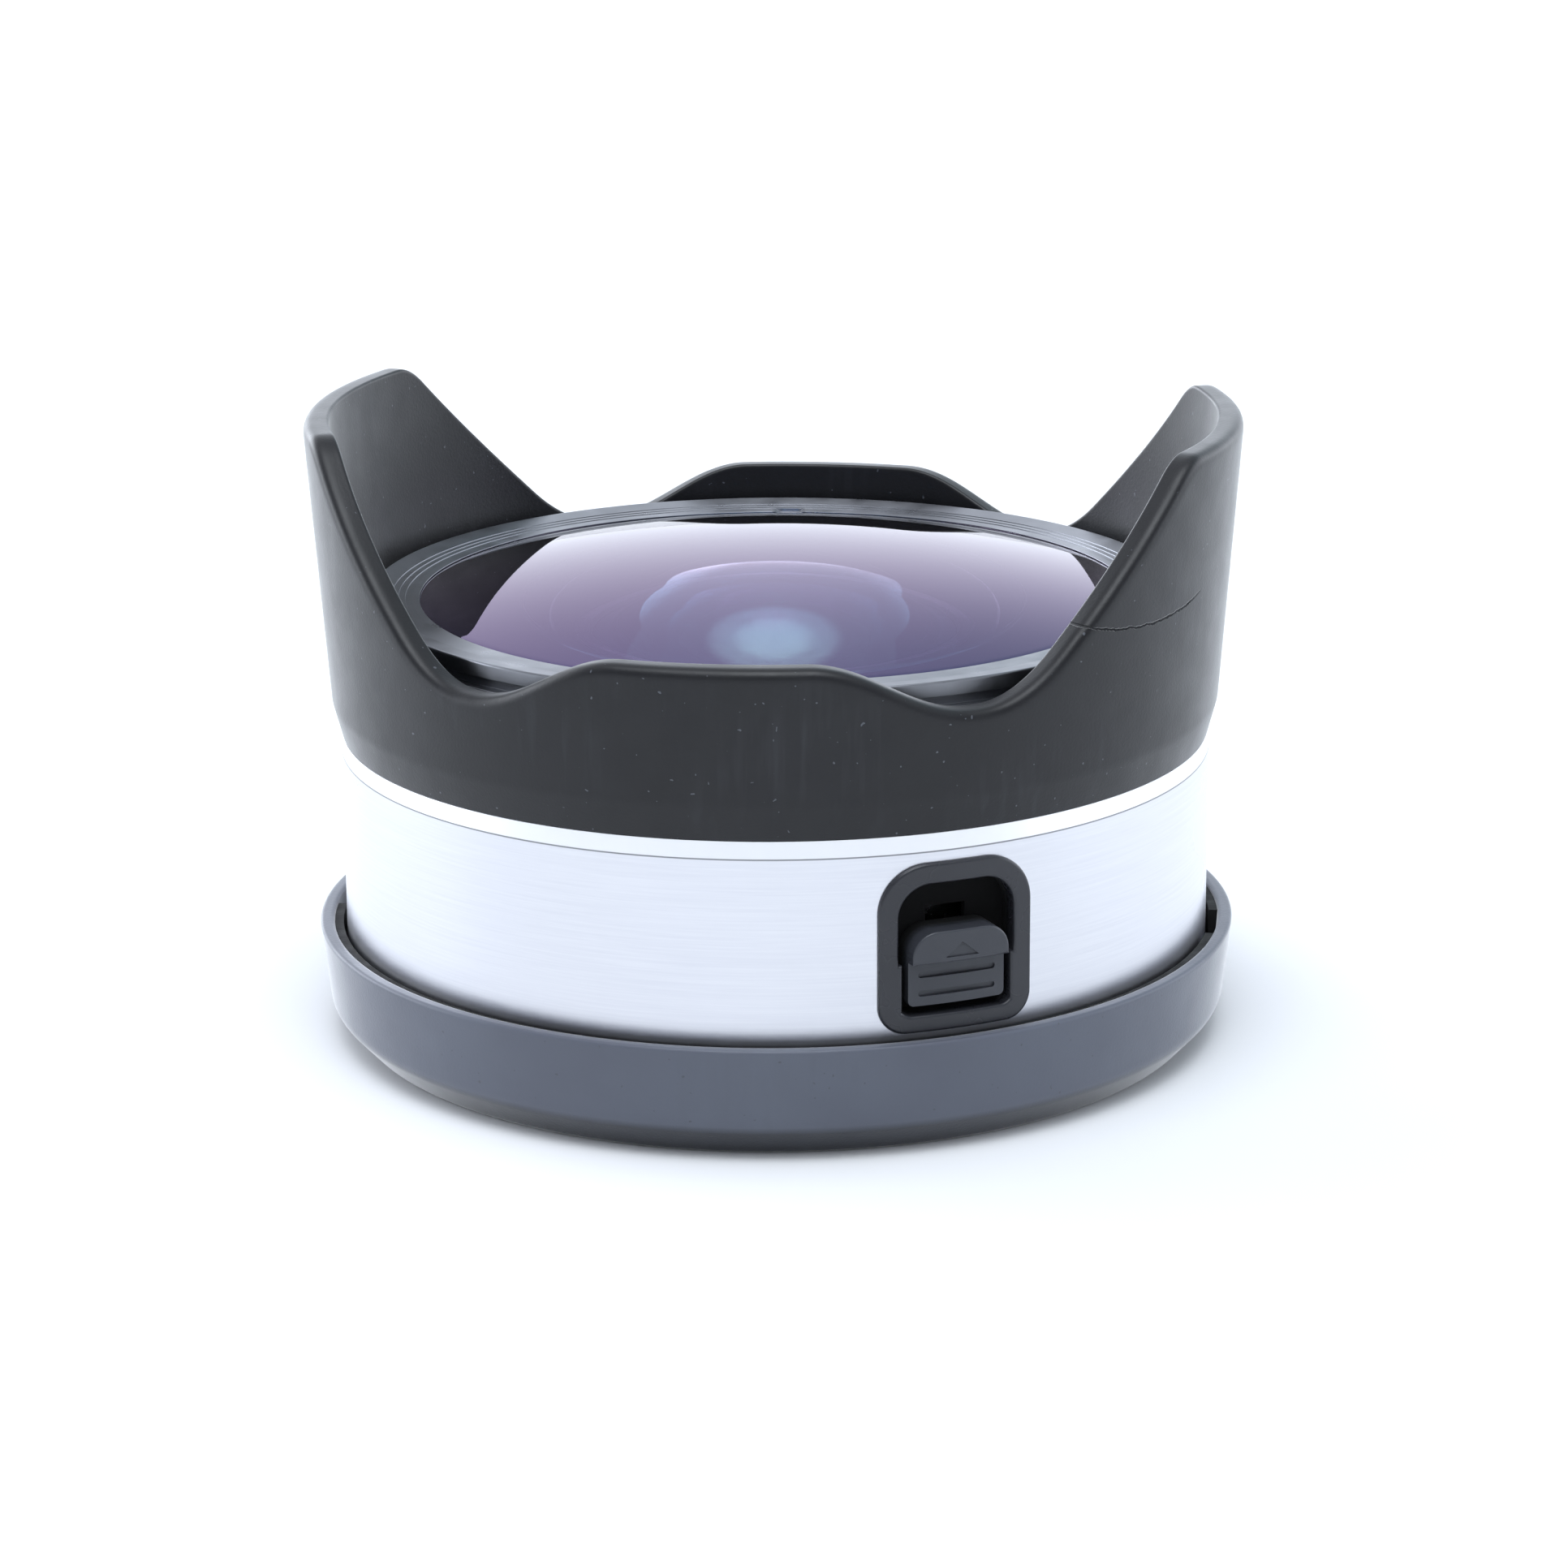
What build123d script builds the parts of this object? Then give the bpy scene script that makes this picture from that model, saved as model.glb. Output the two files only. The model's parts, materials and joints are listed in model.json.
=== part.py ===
from build123d import *

import os
from math import asin, cos, degrees, radians, sin, sqrt

# A fisheye converter lens that stands on its push-on rear cap.
# Sizes are in millimetres and angles in degrees. Z is the optical axis with the
# front glass up, and z = 0 is the underside of the cap. An azimuth is an angle
# about Z, from -Y towards +X. "base" is a piece's lowest height, "top" its highest.

os.makedirs("parts", exist_ok=True)

# Clearances and cuts
fit = 0.05                      # between two pieces that are seated in each other
running = 0.25                  # between two pieces that slide past each other
overrun = 2.0                   # how far a cutter runs past what it cuts

# Barrel sleeve: a brushed aluminium tube with a bright facet at its top edge
barrel_radius = 31.0
barrel_wall = 1.2
barrel_height = 18.14
band_height = 1.22
band_inset = 0.12
sleeve_lip_reach = 3.1          # from the outside of the barrel inwards
sleeve_lip_height = 1.46
sleeve_edge_chamfer = 0.25

# Rear cap: a shallow moulded dish with a sloping shoulder
cap_height = 8.1
cap_floor = 1.5
cap_rim_wall = 1.0
cap_wall_lean = 0.66            # how far the wall leans out above the shoulder
cap_shoulder_width = 2.14
cap_shoulder_height = 2.3
cap_shoulder_round = 0.8
cap_rim_round = 0.3
cap_base_width = 4.1            # the flat ring that the cap stands on
cap_recess_depth = 0.4
cap_foot_gap = 0.3              # between the bayonet ring and the wall at the floor
cap_foot_height = 1.5
cap_foot_flare = 0.65
cap_pad_count = 2
cap_pad_thickness = 0.65
cap_pad_drop = 0.3              # pad tops below the rim
cap_pad_split_angle = 10.0      # gap between neighbouring pads

# Bayonet ring and what clamps the host lens
bayonet_flange_height = 1.1
bayonet_flange_inset = 0.4      # inside the outside of the barrel
bayonet_collar_height = 1.8
claw_gap = 0.1                  # the claws stand back from the pilot bore by this
claw_height = 1.0
claw_count = 3
claw_angle = 34.0
claw_lead_chamfer = 0.3
bayonet_screw_count = 4
bayonet_screw_radius = 0.5
bayonet_screw_head_radius = 0.8
bayonet_screw_length = 4.2
leaf_thickness = 0.2
leaf_angle = 28.0
leaf_margin = 0.2

# Rear frame: the moulded body that everything is built on
pilot_inset = 4.5               # bore for the host's rim, inside the outside of the barrel
pilot_length = 3.1
lug_groove_depth = 1.5
lug_groove_height = 0.9
frame_floor = 1.2
column_inset = 2.1              # inside the pilot bore
column_wall = 3.4

# Lens cell: the turned barrel that holds the glass
cell_seat_height = 3.1
cell_collar_drop = 0.96         # the column's top lies this far below the barrel's
cell_cup_wall = 1.0
cell_cup_height = 5.9
cell_mouth_width = 2.3
cell_mouth_depth = 1.2
cell_shelf_depth = 5.0          # shelf of the second element below the seat
cell_shelf_width = 4.3
cell_shelf_height = 1.5
cell_tail_wall = 3.0
stop_width = 0.65
stop_height = 0.5
cell_screw_count = 3
cell_screw_radius = 0.7
cell_screw_head_radius = 1.3
cell_screw_length = 6.0

# Glass. Each curve is a share of its element's radius.
glass_inset = 5.3               # front element, inside the outside of the barrel
glass_rise = 1.15               # its front edge above the cell's cup
front_curve_share = 4.28
front_centre = 3.86
front_hollow_share = 1.0115
second_glass_share = 0.6031     # of the front element's radius
second_glass_height = 2.0
second_curve_share = 1.42
second_centre = 1.8
second_hollow_share = 0.806
third_glass_share = 0.616       # of the second element's radius
third_curve_share = 1.885
third_edge = 1.85
cement_curve_share = 1.466
cement_gap = 0.02
fourth_centre = 1.07
fourth_curve_share = 4.19

# Rings that hold the glass
front_ring_inset = 2.2          # inside the outside of the barrel
front_ring_height = 1.55        # above the cell's cup
front_ring_face = 1.6           # width of the flat face round the outside
front_ring_wall = 1.0
front_ring_undercut = 0.5
front_ring_undercut_height = 0.7
front_ring_skirt_step = 0.25
front_ring_overlap = 0.5        # over the edge of the glass
front_ring_steps = 3
front_ring_step = 0.5
front_ring_step_drop = 0.05
front_ring_lip_drop = 0.2       # lip below the top face, at the bore
spanner_slot_count = 2
spanner_slot_azimuth = 5.0
spanner_slot_width = 1.8
spanner_slot_length = 0.9
spanner_slot_depth = 0.25
seal_width = 0.7
seal_height = 0.75
second_ring_width = 0.9
second_ring_height = 1.6
second_ring_bevel = 0.6
rear_ring_width = 1.25
rear_ring_height = 1.0
baffle_thickness = 0.8

# Petal hood: two tall and two short petals on one drafted shell
hood_flare = 0.56               # outwards from the barrel
hood_flare_height = 2.53
hood_splay = 1.49               # outwards from the flare to the top
hood_wall = 1.85
hood_tall_height = 22.54        # each height is above the top of the barrel
hood_short_height = 11.94
hood_valley_height = 8.34
hood_foot_height = 1.64
hood_foot_gap = 0.3             # round the lens cell
hood_foot_round = 0.5
hood_rim_round = 0.55
short_petal_angle = 11.5        # these angles are from the middle of a short petal
valley_start_angle = 32.0
valley_end_angle = 33.0
rise_start_angle = 44.0
rise_end_angle = 66.4
corner_angle = 2.6              # half of the rounded corner of a tall petal
edge_points = 60                # points along a quarter of the edge
hood_screw_count = 4
hood_screw_inset = 2.0          # inside the outside of the barrel
hood_screw_radius = 0.5
hood_screw_head_radius = 0.75
hood_screw_head_height = 0.5
hood_screw_depth = 1.2

# Release: a frame let into the barrel, with a thumb slide in its pocket
release_azimuth = 30.3
bezel_foot_margin = 5.7         # frame above the sleeve's base
bezel_head_margin = 0.74        # frame below the bright facet
bezel_width = 11.1
bezel_top_round = 3.4
bezel_foot_round = 1.9
bezel_proud = 0.35
bezel_edge_round = 0.2
bezel_margin = 0.6              # flange width outside the window in the barrel
bezel_depth = 2.4
bezel_back_wall = 0.5
pocket_border = 1.3             # frame above and below the pocket
pocket_side_border = 1.35
pocket_top_round = 2.3
pocket_foot_round = 1.0
pocket_drop = 0.1               # pocket's middle below the frame's middle
pocket_shoulder = 0.25          # the lower part of the pocket is narrower by this
pocket_shoulder_share = 0.396   # of the pocket's height
slide_side_gap = 0.7
slide_foot_gap = 0.65           # slide above the pocket's lower edge
slide_end_gap = 0.45            # pocket left above the slide at the end of its travel
slide_panel_share = 0.3407      # of the pocket's height
slide_panel_proud = 0.15
slide_head_share = 0.2418
slide_head_proud = 1.0
slide_head_round_share = 0.795  # of the head's height
slide_edge_round = 0.15
slide_foot_round = 0.4
slide_back_gap = 0.15
groove_margin = 0.7
groove_height = 0.42
groove_depth = 0.3
groove_shares = (0.274, 0.694)  # of the panel's height
arrow_width = 2.4
arrow_height = 1.0
arrow_depth = 0.15
arrow_lift = 0.35
stem_width = 2.4
stem_height_share = 0.34        # of the slide's height
stem_lift_share = 0.283         # stem's foot above the slide's foot
stem_tip = 0.4                  # stem past the plate's back
plate_inset = 5.0               # plate's back inside the outside of the barrel
plate_width = 6.0
plate_thickness = 0.6
plate_foot = 0.1                # plate's foot above the slide's foot
tab_width = 2.6
tab_thickness = 0.6
foot_tab_reach = 2.3            # both tabs are measured from the plate's back
spring_tab_reach = 1.25
pin_inset = 3.35                # pin's axis inside the outside of the barrel
pin_radius = 0.65
pin_reach = 0.8                 # below the pilot bore, into the lug groove
pin_tip_chamfer = 0.2
pin_spigot_radius = 0.45
pin_spigot_height = 0.25
spring_inset = 0.25             # spring's axis inside the plate's back
spring_coil_radius = 0.72
spring_wire_radius = 0.14
spring_turns = 5

# Heights, from the cap upwards
lens_rear = cap_floor
flange_top = lens_rear + bayonet_flange_height
collar_top = lens_rear + bayonet_collar_height
pilot_base = collar_top + lug_groove_height
pilot_top = pilot_base + pilot_length
floor_top = pilot_top + frame_floor
band_base = flange_top + barrel_height
barrel_top = band_base + band_height
column_top = barrel_top - cell_collar_drop
seat = column_top + cell_seat_height
cup_top = seat + cell_cup_height
ring_top = cup_top + fit + front_ring_height
shelf_top = seat - cell_shelf_depth
shelf_base = shelf_top - cell_shelf_height
stop_base = shelf_base - stop_height
hood_top = barrel_top + hood_tall_height
hood_foot_top = barrel_top + hood_foot_height

# Radii, from the outside of the barrel inwards
cap_rim_radius = barrel_radius + running + cap_pad_thickness + cap_rim_wall
cap_shoulder_radius = cap_rim_radius - cap_wall_lean
cap_base_radius = cap_shoulder_radius - cap_shoulder_width
cap_recess_radius = cap_base_radius - cap_base_width
hood_flare_radius = barrel_radius + hood_flare
hood_top_radius = hood_flare_radius + hood_splay
bayonet_flange_radius = barrel_radius - bayonet_flange_inset
sleeve_bore = barrel_radius - barrel_wall
sleeve_lip_radius = barrel_radius - sleeve_lip_reach
frame_radius = sleeve_bore - fit
collar_radius = sleeve_lip_radius - fit
pilot_radius = barrel_radius - pilot_inset
lug_groove_radius = pilot_radius + lug_groove_depth
bayonet_screw_circle = (lug_groove_radius + frame_radius) / 2
hood_screw_circle = barrel_radius - hood_screw_inset
pin_circle = barrel_radius - pin_inset
column_radius = pilot_radius - column_inset
column_bore_radius = column_radius - column_wall
cell_screw_circle = (column_radius + column_bore_radius) / 2
tube_radius = column_bore_radius - fit
front_glass_radius = barrel_radius - glass_inset
glass_bore = front_glass_radius + fit
cell_cup_radius = glass_bore + seal_width + cell_cup_wall
hood_foot_bore = cell_cup_radius + hood_foot_gap
front_ring_radius = barrel_radius - front_ring_inset
front_ring_bore = front_glass_radius - front_ring_overlap
second_glass_radius = second_glass_share * front_glass_radius
second_bore = second_glass_radius + fit
second_ring_bore = second_glass_radius - second_ring_width
third_glass_radius = third_glass_share * second_glass_radius
third_bore = third_glass_radius + fit
tail_radius = third_bore + cell_tail_wall
stop_radius = third_glass_radius - stop_width
rear_ring_bore = third_glass_radius - rear_ring_width


def sagitta(curve, radius):
    """How far a sphere of radius curve falls between its axis and a radius."""
    return curve - sqrt(curve**2 - radius**2)


def half_angle(curve, radius):
    """The arc of that sphere from its axis out to the radius, in degrees."""
    return degrees(asin(radius / curve))


def reach(curve, depth):
    """The radius at which that sphere has fallen by a depth."""
    return sqrt(curve**2 - (curve - depth) ** 2)


def radial(azimuth):
    """The plane through the lens axis whose X axis points outwards at an azimuth."""
    turn = radians(azimuth)
    return Plane((0, 0, 0), x_dir=(sin(turn), -cos(turn), 0), z_dir=(-cos(turn), -sin(turn), 0))


def facing(azimuth):
    """The plane on the lens axis that faces outwards at an azimuth, with Y up."""
    turn = radians(azimuth)
    return Plane((0, 0, 0), x_dir=(cos(turn), sin(turn), 0), z_dir=(sin(turn), -cos(turn), 0))


def polar(radius, azimuth, height=0):
    """A point at a radius, azimuth and height."""
    turn = radians(azimuth)
    return (radius * sin(turn), -radius * cos(turn), height)


def spread(count, first):
    """Evenly spaced azimuths, starting from the first."""
    return [first + step * 360 / count for step in range(count)]


def seats(azimuths, radius, height, turn=0):
    """Places round the axis for fasteners; a turn of 180 points them upwards."""
    return [Location(polar(radius, azimuth, height), (turn, 0, 0)) for azimuth in azimuths]


def arc_ring(outline, azimuths, span):
    """Pieces of a ring, each centred on an azimuth, from its (radius, height) outline."""
    with BuildPart() as ring:
        for azimuth in azimuths:
            with BuildSketch(radial(azimuth - span / 2)):
                Polygon(*outline)
            revolve(axis=Axis.Z, revolution_arc=span)
    return ring.part


def screw(head_radius, head_height, shank_radius, length):
    """A screw with a conical head flush at z = 0 and its shank below."""
    with BuildPart() as fastener:
        with BuildSketch(Plane.XZ):
            Polygon(
                (0, 0),
                (head_radius, 0),
                (shank_radius, -head_height),
                (shank_radius, -length),
                (0, -length),
            )
        revolve(axis=Axis.Z)
        with BuildSketch(Plane.XY):
            RegularPolygon(shank_radius, side_count=6)
        extrude(amount=-head_height, mode=Mode.SUBTRACT)
    return fastener.part


def finish(piece, label):
    """Name a piece and write its file."""
    piece.part.label = label
    export_step(piece.part, f"parts/{label}.step")


# Rear cap
cap_inner_foot = bayonet_flange_radius + cap_foot_gap
cap_inner_shoulder = cap_inner_foot + cap_foot_flare
cap_inner_rim = cap_rim_radius - cap_rim_wall
cap_shoulder = (cap_shoulder_radius, cap_shoulder_height)
with BuildPart() as rear_cap:
    with BuildSketch(Plane.XZ) as section:
        Polygon(
            (0, cap_recess_depth),
            (cap_recess_radius, cap_recess_depth),
            (cap_recess_radius + cap_recess_depth, 0),
            (cap_base_radius, 0),
            cap_shoulder,
            (cap_rim_radius, cap_height),
            (cap_inner_rim, cap_height),
            (cap_inner_shoulder, cap_floor + cap_foot_height),
            (cap_inner_foot, cap_floor),
            (0, cap_floor),
        )
        fillet(section.vertices().group_by(Axis.Y)[-1], radius=cap_rim_round)
        fillet(section.vertices().sort_by_distance(cap_shoulder)[0], radius=cap_shoulder_round)
    revolve(axis=Axis.Z)
finish(rear_cap, "rear_cap")

# Two half-ring pads inside the wall of the cap grip the barrel
pad_bore = barrel_radius + running
pad_base = cap_floor + cap_foot_height
pad_top = cap_height - cap_pad_drop
pad_draft = (cap_inner_rim - cap_inner_shoulder) / (cap_height - pad_base)
pad_outline = (
    (pad_bore, pad_base),
    (cap_inner_shoulder, pad_base),
    (cap_inner_shoulder + pad_draft * (pad_top - pad_base), pad_top),
    (pad_bore, pad_top),
)
with BuildPart() as cap_grip_pads:
    add(arc_ring(pad_outline, spread(cap_pad_count, 0), 360 / cap_pad_count - cap_pad_split_angle))
finish(cap_grip_pads, "cap_grip_pads")


def release_panel(width, height, top_round, foot_round, middle):
    """A panel in the release plane, with larger corners at its top."""
    with BuildSketch() as panel:
        with Locations((0, middle)):
            Rectangle(width, height)
        fillet(panel.vertices().group_by(Axis.Y)[-1], radius=top_round)
        fillet(panel.vertices().group_by(Axis.Y)[0], radius=foot_round)
    return panel.sketch


bezel_height = barrel_height - bezel_foot_margin - bezel_head_margin
release_middle = flange_top + bezel_foot_margin + bezel_height / 2


def bezel_panel(margin):
    """The release frame's outline, drawn in by a margin."""
    return release_panel(
        bezel_width - 2 * margin,
        bezel_height - 2 * margin,
        bezel_top_round - margin,
        bezel_foot_round - margin,
        release_middle,
    )


# Barrel sleeve, with a window for the release frame and holes for the hood's screws
release_face = facing(release_azimuth)
hood_screw_azimuths = spread(hood_screw_count, 360 / hood_screw_count / 2)
with BuildPart() as barrel_sleeve:
    with BuildSketch(Plane.XZ) as section:
        Polygon(
            (barrel_radius, flange_top),
            (barrel_radius, band_base),
            (barrel_radius - band_inset, barrel_top),
            (sleeve_lip_radius, barrel_top),
            (sleeve_lip_radius, barrel_top - sleeve_lip_height),
            (sleeve_bore, barrel_top - sleeve_lip_height),
            (sleeve_bore, flange_top),
        )
        chamfer(section.vertices().group_by(Axis.Y)[0].sort_by(Axis.X)[-1], length=sleeve_edge_chamfer)
    revolve(axis=Axis.Z)
    with BuildSketch(release_face.offset(column_radius)):
        add(bezel_panel(bezel_margin))
    extrude(amount=barrel_radius, mode=Mode.SUBTRACT)
    with Locations(*seats(hood_screw_azimuths, hood_screw_circle, barrel_top)):
        Hole(hood_screw_radius + fit, depth=sleeve_lip_height + overrun)
finish(barrel_sleeve, "barrel_sleeve")

# Bayonet ring: a flange under the sleeve, a collar and claws that reach inwards
claw_azimuths = spread(claw_count, release_azimuth + 180 / claw_count)
bayonet_screw_azimuths = spread(bayonet_screw_count, release_azimuth + 180 / bayonet_screw_count)
claw_base = collar_top - claw_height
claw_radius = pilot_radius + claw_gap
claw_outline = (
    (claw_radius, claw_base + claw_lead_chamfer),
    (claw_radius + claw_lead_chamfer, claw_base),
    (lug_groove_radius + fit, claw_base),
    (lug_groove_radius + fit, collar_top - fit),
    (claw_radius, collar_top - fit),
)
with BuildPart() as bayonet_ring:
    with BuildSketch(Plane.XZ) as section:
        Polygon(
            (lug_groove_radius, lens_rear),
            (bayonet_flange_radius, lens_rear),
            (bayonet_flange_radius, flange_top - fit),
            (frame_radius, flange_top - fit),
            (frame_radius, collar_top - fit),
            (lug_groove_radius, collar_top - fit),
        )
        chamfer(section.vertices().group_by(Axis.Y)[0], length=claw_lead_chamfer)
    revolve(axis=Axis.Z)
    add(arc_ring(claw_outline, claw_azimuths, claw_angle))
    with Locations(*seats(bayonet_screw_azimuths, bayonet_screw_circle, lens_rear, 180)):
        CounterSinkHole(
            bayonet_screw_radius + fit, bayonet_screw_head_radius + fit, depth=bayonet_screw_length
        )
finish(bayonet_ring, "bayonet_ring")

with BuildPart() as bayonet_screws:
    with Locations(*seats(bayonet_screw_azimuths, bayonet_screw_circle, lens_rear, 180)):
        add(
            screw(
                bayonet_screw_head_radius,
                bayonet_screw_head_radius - bayonet_screw_radius,
                bayonet_screw_radius,
                bayonet_screw_length,
            )
        )
finish(bayonet_screws, "bayonet_screws")

# Leaf springs behind the claws press the host's lugs against them
leaf_outline = (
    (pilot_radius + leaf_margin, pilot_base - leaf_thickness),
    (lug_groove_radius - leaf_margin, pilot_base - leaf_thickness),
    (lug_groove_radius - leaf_margin, pilot_base),
    (pilot_radius + leaf_margin, pilot_base),
)
with BuildPart() as bayonet_leaf_springs:
    add(arc_ring(leaf_outline, claw_azimuths, leaf_angle))
finish(bayonet_leaf_springs, "bayonet_leaf_springs")

# Rear frame: a well for the host lens, a floor and the column that carries the cell
cell_screw_azimuths = spread(cell_screw_count, release_azimuth)
cell_screw_foot = seat - cell_screw_length
with BuildPart() as rear_frame:
    with BuildSketch(Plane.XZ):
        Polygon(
            (lug_groove_radius, collar_top),
            (frame_radius, collar_top),
            (frame_radius, floor_top),
            (column_radius, floor_top),
            (column_radius, column_top),
            (column_bore_radius, column_top),
            (column_bore_radius, pilot_top),
            (pilot_radius, pilot_top),
            (pilot_radius, pilot_base),
            (lug_groove_radius, pilot_base),
        )
    revolve(axis=Axis.Z)
    with Locations(*seats(bayonet_screw_azimuths, bayonet_screw_circle, lens_rear, 180)):
        Hole(bayonet_screw_radius + fit, depth=bayonet_screw_length + fit)
    with Locations(*seats(cell_screw_azimuths, cell_screw_circle, column_top)):
        Hole(cell_screw_radius + fit, depth=column_top - cell_screw_foot + fit)
    with Locations(*seats([release_azimuth], pin_circle, floor_top)):
        Hole(pin_radius + running, depth=frame_floor + pilot_length + overrun)
finish(rear_frame, "rear_frame")

# Front element: a thick meniscus, weakly curved in front and deeply hollow behind
front_curve = front_curve_share * front_glass_radius
front_hollow_curve = front_hollow_share * front_glass_radius
front_edge = cup_top + glass_rise
front_apex = front_edge + sagitta(front_curve, front_glass_radius)
hollow_apex = front_apex - front_centre
hollow_radius = reach(front_hollow_curve, hollow_apex - seat)
with BuildPart() as front_element:
    with BuildSketch(Plane.XZ):
        with BuildLine():
            bulge = JernArc(
                (0, front_apex), (1, 0), front_curve, -half_angle(front_curve, front_glass_radius)
            )
            hollow = JernArc(
                (0, hollow_apex), (1, 0), front_hollow_curve, -half_angle(front_hollow_curve, hollow_radius)
            )
            Polyline(bulge @ 1, (front_glass_radius, seat), hollow @ 1)
            Line(bulge @ 0, hollow @ 0)
        make_face()
    revolve(axis=Axis.Z)
finish(front_element, "front_element")

# Second element: a smaller meniscus on the cell's shelf
second_curve = second_curve_share * second_glass_radius
second_hollow_curve = second_hollow_share * second_glass_radius
second_edge = shelf_top + second_glass_height
second_apex = second_edge + sagitta(second_curve, second_glass_radius)
second_hollow_apex = second_apex - second_centre
second_hollow_radius = reach(second_hollow_curve, second_hollow_apex - shelf_top)
with BuildPart() as second_element:
    with BuildSketch(Plane.XZ):
        with BuildLine():
            bulge = JernArc(
                (0, second_apex), (1, 0), second_curve, -half_angle(second_curve, second_glass_radius)
            )
            hollow = JernArc(
                (0, second_hollow_apex),
                (1, 0),
                second_hollow_curve,
                -half_angle(second_hollow_curve, second_hollow_radius),
            )
            Polyline(bulge @ 1, (second_glass_radius, shelf_top), hollow @ 1)
            Line(bulge @ 0, hollow @ 0)
        make_face()
    revolve(axis=Axis.Z)
finish(second_element, "second_element")

# Cemented pair: a biconvex element and the meniscus behind it
third_curve = third_curve_share * third_glass_radius
cement_curve = cement_curve_share * third_glass_radius
third_edge_fall = sagitta(third_curve, third_glass_radius) - sagitta(third_curve, stop_radius)
third_front_edge = stop_base - fit - third_edge_fall
third_apex = third_front_edge + sagitta(third_curve, third_glass_radius)
third_rear_edge = third_front_edge - third_edge
cement_apex = third_rear_edge - sagitta(cement_curve, third_glass_radius)
with BuildPart() as third_element:
    with BuildSketch(Plane.XZ):
        with BuildLine():
            bulge = JernArc(
                (0, third_apex), (1, 0), third_curve, -half_angle(third_curve, third_glass_radius)
            )
            belly = JernArc(
                (0, cement_apex), (1, 0), cement_curve, half_angle(cement_curve, third_glass_radius)
            )
            Line(bulge @ 1, belly @ 1)
            Line(bulge @ 0, belly @ 0)
        make_face()
    revolve(axis=Axis.Z)
finish(third_element, "third_element")

fourth_hollow_curve = cement_curve + cement_gap
fourth_hollow_apex = cement_apex - cement_gap
fourth_curve = fourth_curve_share * third_glass_radius
fourth_apex = fourth_hollow_apex - fourth_centre
with BuildPart() as fourth_element:
    with BuildSketch(Plane.XZ):
        with BuildLine():
            hollow = JernArc(
                (0, fourth_hollow_apex),
                (1, 0),
                fourth_hollow_curve,
                half_angle(fourth_hollow_curve, third_glass_radius),
            )
            belly = JernArc(
                (0, fourth_apex), (1, 0), fourth_curve, half_angle(fourth_curve, third_glass_radius)
            )
            Line(hollow @ 1, belly @ 1)
            Line(hollow @ 0, belly @ 0)
        make_face()
    revolve(axis=Axis.Z)
finish(fourth_element, "fourth_element")

# Rear retaining ring holds the cemented pair against the stop
rear_ring_top = fourth_apex + sagitta(fourth_curve, rear_ring_bore) - fit
rear_ring_base = rear_ring_top - rear_ring_height
with BuildPart() as rear_retaining_ring:
    with BuildSketch(Plane.XZ) as section:
        Polygon(
            (rear_ring_bore, rear_ring_base),
            (third_glass_radius, rear_ring_base),
            (third_glass_radius, rear_ring_top),
            (rear_ring_bore, rear_ring_top),
        )
        chamfer(
            section.vertices().group_by(Axis.Y)[0].sort_by(Axis.X)[0], length=rear_ring_height / 2
        )
    revolve(axis=Axis.Z)
finish(rear_retaining_ring, "rear_retaining_ring")

# Lens cell: a cup for the front element, a tube with a shelf and a narrow tail
rebate_radius = glass_bore + seal_width
rebate_base = cup_top - seal_height
cell_shelf_radius = second_glass_radius - cell_shelf_width
cell_mouth_radius = second_glass_radius + cell_mouth_width
with BuildPart() as lens_cell:
    with BuildSketch(Plane.XZ):
        Polygon(
            (rebate_radius, cup_top),
            (cell_cup_radius, cup_top),
            (cell_cup_radius, barrel_top),
            (collar_radius, barrel_top),
            (collar_radius, column_top),
            (tube_radius, column_top),
            (tube_radius, shelf_base),
            (tail_radius, shelf_base),
            (tail_radius, rear_ring_base),
            (third_bore, rear_ring_base),
            (third_bore, stop_base),
            (stop_radius, stop_base),
            (stop_radius, shelf_base),
            (cell_shelf_radius, shelf_top),
            (second_bore, shelf_top),
            (second_bore, seat - cell_mouth_depth),
            (cell_mouth_radius, seat),
            (glass_bore, seat),
            (glass_bore, rebate_base),
            (rebate_radius, rebate_base),
        )
    revolve(axis=Axis.Z)
    with Locations(*seats(cell_screw_azimuths, cell_screw_circle, seat)):
        CounterSinkHole(
            cell_screw_radius + fit, cell_screw_head_radius + fit, depth=cell_seat_height + overrun
        )
finish(lens_cell, "lens_cell")

with BuildPart() as cell_screws:
    with Locations(*seats(cell_screw_azimuths, cell_screw_circle, seat - fit)):
        add(
            screw(
                cell_screw_head_radius,
                cell_screw_head_radius - cell_screw_radius,
                cell_screw_radius,
                cell_screw_length - fit,
            )
        )
finish(cell_screws, "cell_screws")

with BuildPart() as front_seal:
    with BuildSketch(Plane.XZ):
        Polygon(
            (glass_bore, rebate_base),
            (rebate_radius - fit, rebate_base),
            (rebate_radius - fit, cup_top),
            (glass_bore, cup_top),
        )
    revolve(axis=Axis.Z)
finish(front_seal, "front_seal")

# Ring that holds the second element down on its shelf
second_ring_base = second_apex - sagitta(second_curve, second_ring_bore) + fit
second_ring_top = second_ring_base + second_ring_height
with BuildPart() as second_retaining_ring:
    with BuildSketch(Plane.XZ):
        Polygon(
            (second_ring_bore, second_ring_base),
            (second_glass_radius, second_ring_base),
            (second_glass_radius, second_ring_top),
            (second_ring_bore + second_ring_bevel, second_ring_top),
            (second_ring_bore, second_ring_top - second_ring_bevel),
        )
    revolve(axis=Axis.Z)
finish(second_retaining_ring, "second_retaining_ring")

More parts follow.
